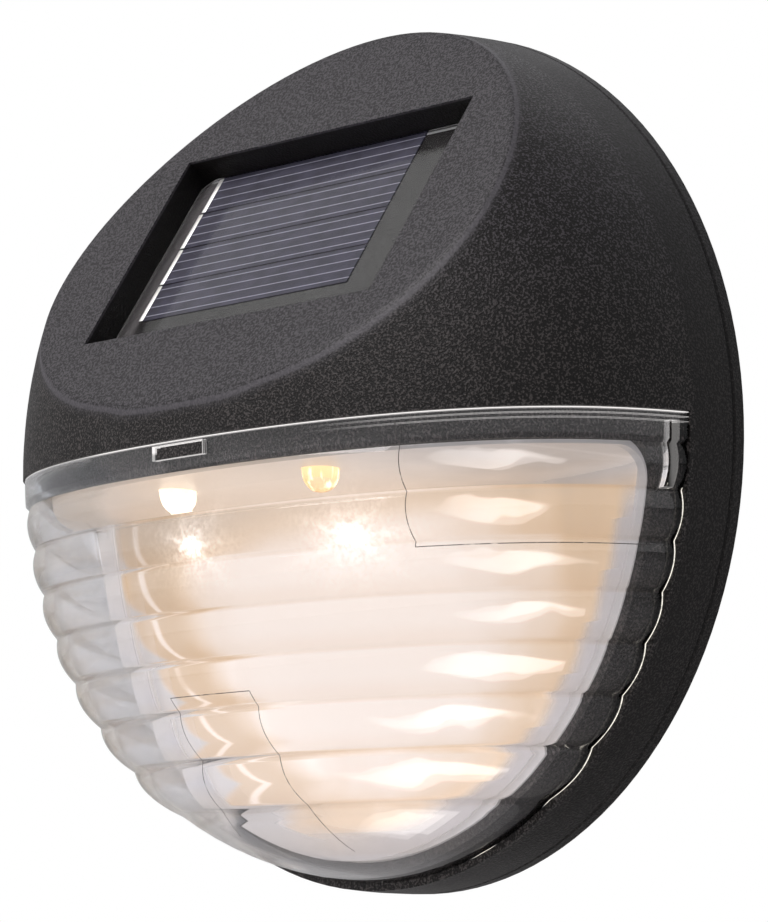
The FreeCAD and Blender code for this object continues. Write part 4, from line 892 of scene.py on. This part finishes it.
quarter = [0.0, SLOT_ANGLES[0]] + spaced(SLOT_ANGLES[1], 90 - CATCH_ANGLE, COLUMNS)
quarter += spaced(90 - CATCH_ANGLE, 90, 5)
angles = [math.radians(angle) for angle in quarter + [90.0] + [180 - angle for angle in reversed(quarter)]]
levels = [0.0, CATCH_HEIGHTS[0], SLOT_HEIGHTS[0], CATCH_HEIGHTS[1], BAND_LEVEL, SLOT_HEIGHTS[1]]
levels += [-RIB_START - RIB_PITCH * step / RIB_STEPS for step in range(RIBS * RIB_STEPS + 1)]
levels.sort(reverse=True)
FOOT_TOP = levels[-1]


def lens_point(column, row, inner):
    """Point of the lens's outer or inner face by its place in the net of columns and rows."""
    inset = LENS_INSET + (LENS_WALL if inner else 0.0)
    if row < len(levels):
        z = levels[row]
        inset += rib_inset(z, inner)
    else:
        inset += RIB_RISE
        bottom = -curve_radius(RING_DEPTH, inset) + 0.0001 * MM
        share = math.sin((row - len(levels) + 1) / FOOT_STEPS * math.pi / 2)
        z = FOOT_TOP + (bottom - FOOT_TOP) * share
    return shell_point(angles[column], z, inset)


def in_catch(spot):
    return abs(spot.x) < CATCH_HALF and CATCH_HEIGHTS[1] < spot.z < CATCH_HEIGHTS[0]


def in_slot(spot):
    return (abs(spot.x) > SLOT_X and SLOT_DEPTHS[0] - 0.1 * MM < -spot.y < SLOT_DEPTHS[1] + 0.1 * MM
            and SLOT_HEIGHTS[1] < spot.z < SLOT_HEIGHTS[0])


def in_right_slot(spot):
    return in_slot(spot) and spot.x > 0


def in_left_slot(spot):
    return in_slot(spot) and spot.x < 0


lens = bmesh.new()
last_row = len(levels) - 1 + FOOT_STEPS
last_column = len(angles) - 1
for inner in (False, True):
    net = bmesh.ops.create_grid(lens, x_segments=last_column, y_segments=last_row, size=1.0)["verts"]
    for vert in net:
        column = round((vert.co.x + 1) / 2 * last_column)
        row = round((vert.co.y + 1) / 2 * last_row)
        vert.co = lens_point(column, row, inner)
bmesh.ops.remove_doubles(lens, verts=lens.verts, dist=0.001 * MM)
rim = [edge for edge in lens.edges if edge.is_boundary]
bmesh.ops.bridge_loops(lens, edges=rim)
for opening in (in_catch, in_right_slot, in_left_slot):
    cut_out = [face for face in lens.faces if opening(face.calc_center_median())]
    bmesh.ops.delete(lens, geom=cut_out, context="FACES")
    bmesh.ops.bridge_loops(lens, edges=[edge for edge in lens.edges if edge.is_boundary])
bmesh.ops.recalc_face_normals(lens, faces=lens.faces)

LENS_TINT = (0.87, 0.855, 0.87)
# painted milky sheen where the lens is seen edge-on
EDGE_ON_SHEEN_TINT = (0.70, 0.80, 0.96, 1)
RIB_SHADE = (0.78, 0.70, 0.64, 1)    # painted shade on the scallops' lower halves, which show more of the tray's sides
EDGE_LIGHT = (1.0, 0.97, 0.95, 1)    # painted light that leaves the wall at its edges
FOOT_LIGHT = (1.0, 0.96, 0.84, 1)
PARTING_GLOW = 0.38
END_GLOW = 0.35
WINDOW_GLOW = 0.4
SLOT_GLOW = 0.15
FOOT_GLOW = 0.8
LEAF_GLOW = 0.19
MOST_GLOW = 1.2
FRONT_Y = -20 * MM                   # nearer than this the lens faces forward
VEIL_X = -18 * MM                    # left of it the lens is seen edge-on, with a painted milky sheen
VEIL_ALPHA = 0.68
LEAF_HEIGHTS = (-56 * MM, -22 * MM)  # a painted leaf-shaped highlight on each scallop, further left lower down
LEAF_X = (19 * MM, 46 * MM)
LEAF_HALVES = (12 * MM, 6.0 * MM)
LED_IMAGES = ((1.5 * MM, -14.2 * MM), (28.4 * MM, -15.0 * MM))   # X and height of the LEDs' painted glare on the lens
HALO = 2.4 * MM
RAYS = 4.5                           # half the number of rays round each

clear = finish("clear_plastic", LENS_TINT, roughness=0.015, transmission_weight=1.0, ior=1.47,
               emission_strength=1.0)
clear.owner.cycles.emission_sampling = "NONE"
clear.bump(clear.noise(70.0, 2.0), 0.02 * MM, 0.15)
across, outward, height = (clear.along(axis) for axis in "XYZ")


def line(distance, width):
    """One on a line and nothing beside it."""
    return abs(distance).ramp(width / 2, width, 1.0, 0.0)


def frame_line(first, first_half, second, second_half, width):
    """A rectangle's outline, from the distance to its middle each way."""
    return line((abs(first) - first_half).most(abs(second) - second_half), width)


catch_middle = sum(CATCH_HEIGHTS) / 2
catch_half = (CATCH_HEIGHTS[0] - CATCH_HEIGHTS[1]) / 2
slot_middle = sum(SLOT_HEIGHTS) / 2
slot_half = (SLOT_HEIGHTS[0] - SLOT_HEIGHTS[1]) / 2
slot_depth = sum(SLOT_DEPTHS) / 2
slot_depth_half = (SLOT_DEPTHS[1] - SLOT_DEPTHS[0]) / 2
front = outward < FRONT_Y
right_end = across.ramp(20 * MM, 40 * MM)
# painted glow along the parting line, the right end's edges, the catch's window and the slots
edges = PARTING_GLOW * line(height + 0.05 * MM, 0.09 * MM)
edges = edges + END_GLOW * right_end * (line(height + 0.66 * MM, 0.06 * MM)
                                        + line(height + 1.3 * MM, 0.05 * MM))
edges = edges + WINDOW_GLOW * front * frame_line(across, CATCH_HALF, height - catch_middle, catch_half,
                                                 0.07 * MM)
edges = edges + SLOT_GLOW * (across > SLOT_X) * frame_line(outward + slot_depth, slot_depth_half,
                                                           height - slot_middle, slot_half, 0.07 * MM)
in_rib = in_scallop(height)
fold = crease(in_rib)
on_ribs = height.ramp(-RIB_START - 0.6 * MM, -RIB_START, 1.0, 0.0)
from_face = under_curve(clear) + LENS_INSET + RIB_RISE * fold * fold
# painted glow of light piped out at the lens's foot
foot = (outward.ramp(-RING_DEPTH - 0.16 * MM, -RING_DEPTH - 0.08 * MM) * (height < SLOT_HEIGHTS[1])
        * from_face.ramp(-0.45 * MM, -0.25 * MM))
light_out = clear.mix(foot, EDGE_LIGHT, FOOT_LIGHT)

# painted glare round each LED's image
glare = 0.0
for image_x, image_z in LED_IMAGES:
    off_x, off_z = across - image_x, height - image_z
    off = (0.6 * off_x * off_x + 1.3 * off_z * off_z) ** 0.5
    bearing = clear.node("ShaderNodeMath", {"operation": "ARCTAN2"}, {0: off_z, 1: off_x})
    ray = clear.node("ShaderNodeMath", {"operation": "COSINE"}, {0: bearing * RAYS}) ** 2.0
    halo = (math.e ** (0.0 - off / HALO)) * (0.42 + 0.35 * ray ** 5.0)
    glare = halo + 0.8 * off.ramp(0.2 * MM, 2.0 * MM, 1.0, 0.0) + glare
glare = glare * front * clear.noise(1500.0, 2.0, 0.6).ramp(0.35, 0.65, 0.25, 1.2)

over_tray = across.ramp(VEIL_X - 2 * MM, VEIL_X + 6 * MM)
blotch = clear.noise(75.0, 3.0, 0.6, stretch=(1.0, 1.0, 1.8))
# painted shade on each scallop's lower half and near its creases, over the tray
low_half = 0.5 * in_rib.ramp(0.45, 0.97) * (1 - 0.5 * blotch)
shade = on_ribs * over_tray * (low_half + 0.2 * fold.ramp(0.88, 1.0))
# painted milky sheen on the left, where the lens is seen edge-on
veil_place = (across - fold * fold * (5 * MM) - 5 * MM * (blotch - 0.5)
              - height.ramp(-45 * MM, -20 * MM, 7 * MM, 0.0))
veil = veil_place.ramp(VEIL_X - 4 * MM, VEIL_X + 2 * MM, VEIL_ALPHA, 1.0)
tint = clear.mix(veil, EDGE_ON_SHEEN_TINT, (*LENS_TINT, 1))
clear.set(base_color=clear.mix(shade, tint, RIB_SHADE), alpha=veil)

# painted leaf-shaped highlight on each scallop
leaf_middle = height.ramp(*LEAF_HEIGHTS, *LEAF_X)
leaf_half = height.ramp(*LEAF_HEIGHTS, *LEAF_HALVES)
ragged = clear.noise(150.0, 2.0, 0.6, stretch=(0.6, 0.6, 1.0)) - 0.5
leaf_place = (across - leaf_middle) / leaf_half + 1.4 * ragged
across_leaf = (in_rib - 0.42 + 0.5 * ragged) / (0.10 + 0.34 * clear.noise(90.0, 1.0))
leaf = (1 - abs(leaf_place) - abs(across_leaf) ** 1.5).ramp(0.0, 0.22) * leaf_place.ramp(-1.0, 0.5, 0.25, 1.0)
painted_leaf_highlight = LEAF_GLOW * leaf * on_ribs * front
glow = (edges + FOOT_GLOW * foot + glare + painted_leaf_highlight).least(MOST_GLOW)
clear.set(emission_color=clear.node("ShaderNodeVectorMath", {"operation": "SCALE"},
                                    {0: light_out, "Scale": glow}))
see_through(clear)
piece("ribbed_lens", lens, clear, "light", ["lens"], sharp=55)


# ---------------------------------------------------------------- witness lines
# The lens's mould has inserts, which leave fine dark lines on the outside: a corner at the upper right and
# a frame low in the middle. They are drawn as narrow strips on the scalloped face.

LINE_HALF = 0.07 * MM
LINE_RISE = 0.03 * MM
# start and end of each line: X and height in mm
CORNER_LINES = [((36.4, -1.0), (37.1, -17.1)), ((37.1, -17.1), (55.8, -17.1))]
FRAME_LINES = [((-7.8, -33.7), (8.2, -33.7)), ((-7.8, -33.7), (-6.4, -42.0)), ((-6.4, -42.0), (-9.4, -52.0)),
               ((8.2, -33.7), (8.9, -43.4)), ((8.9, -43.4), (8.7, -54.6))]
LINE_STEPS = 48


def face_point(x, z):
    """Point just off the lens's outer face, seen from the front."""
    inset = LENS_INSET + rib_inset(z) - LINE_RISE
    return Vector((x, -curve_depth(math.hypot(x, z), inset), z))


def face_normal(x, z):
    step = 0.05 * MM
    along_x = face_point(x + step, z) - face_point(x - step, z)
    along_z = face_point(x, z + step) - face_point(x, z - step)
    return along_x.cross(along_z).normalized()


drawn = bmesh.new()
for (x_start, z_start), (x_end, z_end) in CORNER_LINES + FRAME_LINES:
    places = [((x_start + (x_end - x_start) * step / LINE_STEPS) * MM,
               (z_start + (z_end - z_start) * step / LINE_STEPS) * MM) for step in range(LINE_STEPS + 1)]
    points = [face_point(*place) for place in places]
    pairs = []
    for number, place in enumerate(places):
        way = points[min(number + 1, LINE_STEPS)] - points[max(number - 1, 0)]
        side = way.cross(face_normal(*place)).normalized() * LINE_HALF
        pairs.append([drawn.verts.new(points[number] + side), drawn.verts.new(points[number] - side)])
    for (a, b), (c, d) in zip(pairs, pairs[1:]):
        drawn.faces.new((a, c, d, b))
bmesh.ops.recalc_face_normals(drawn, faces=drawn.faces)
witness = finish("witness_line", (0.12, 0.11, 0.105), roughness=0.4)
witness.set(alpha=witness.noise(900.0, 2.0).ramp(0.25, 0.5, 0.25, 0.85))
piece("witness_lines", drawn, witness, "light")
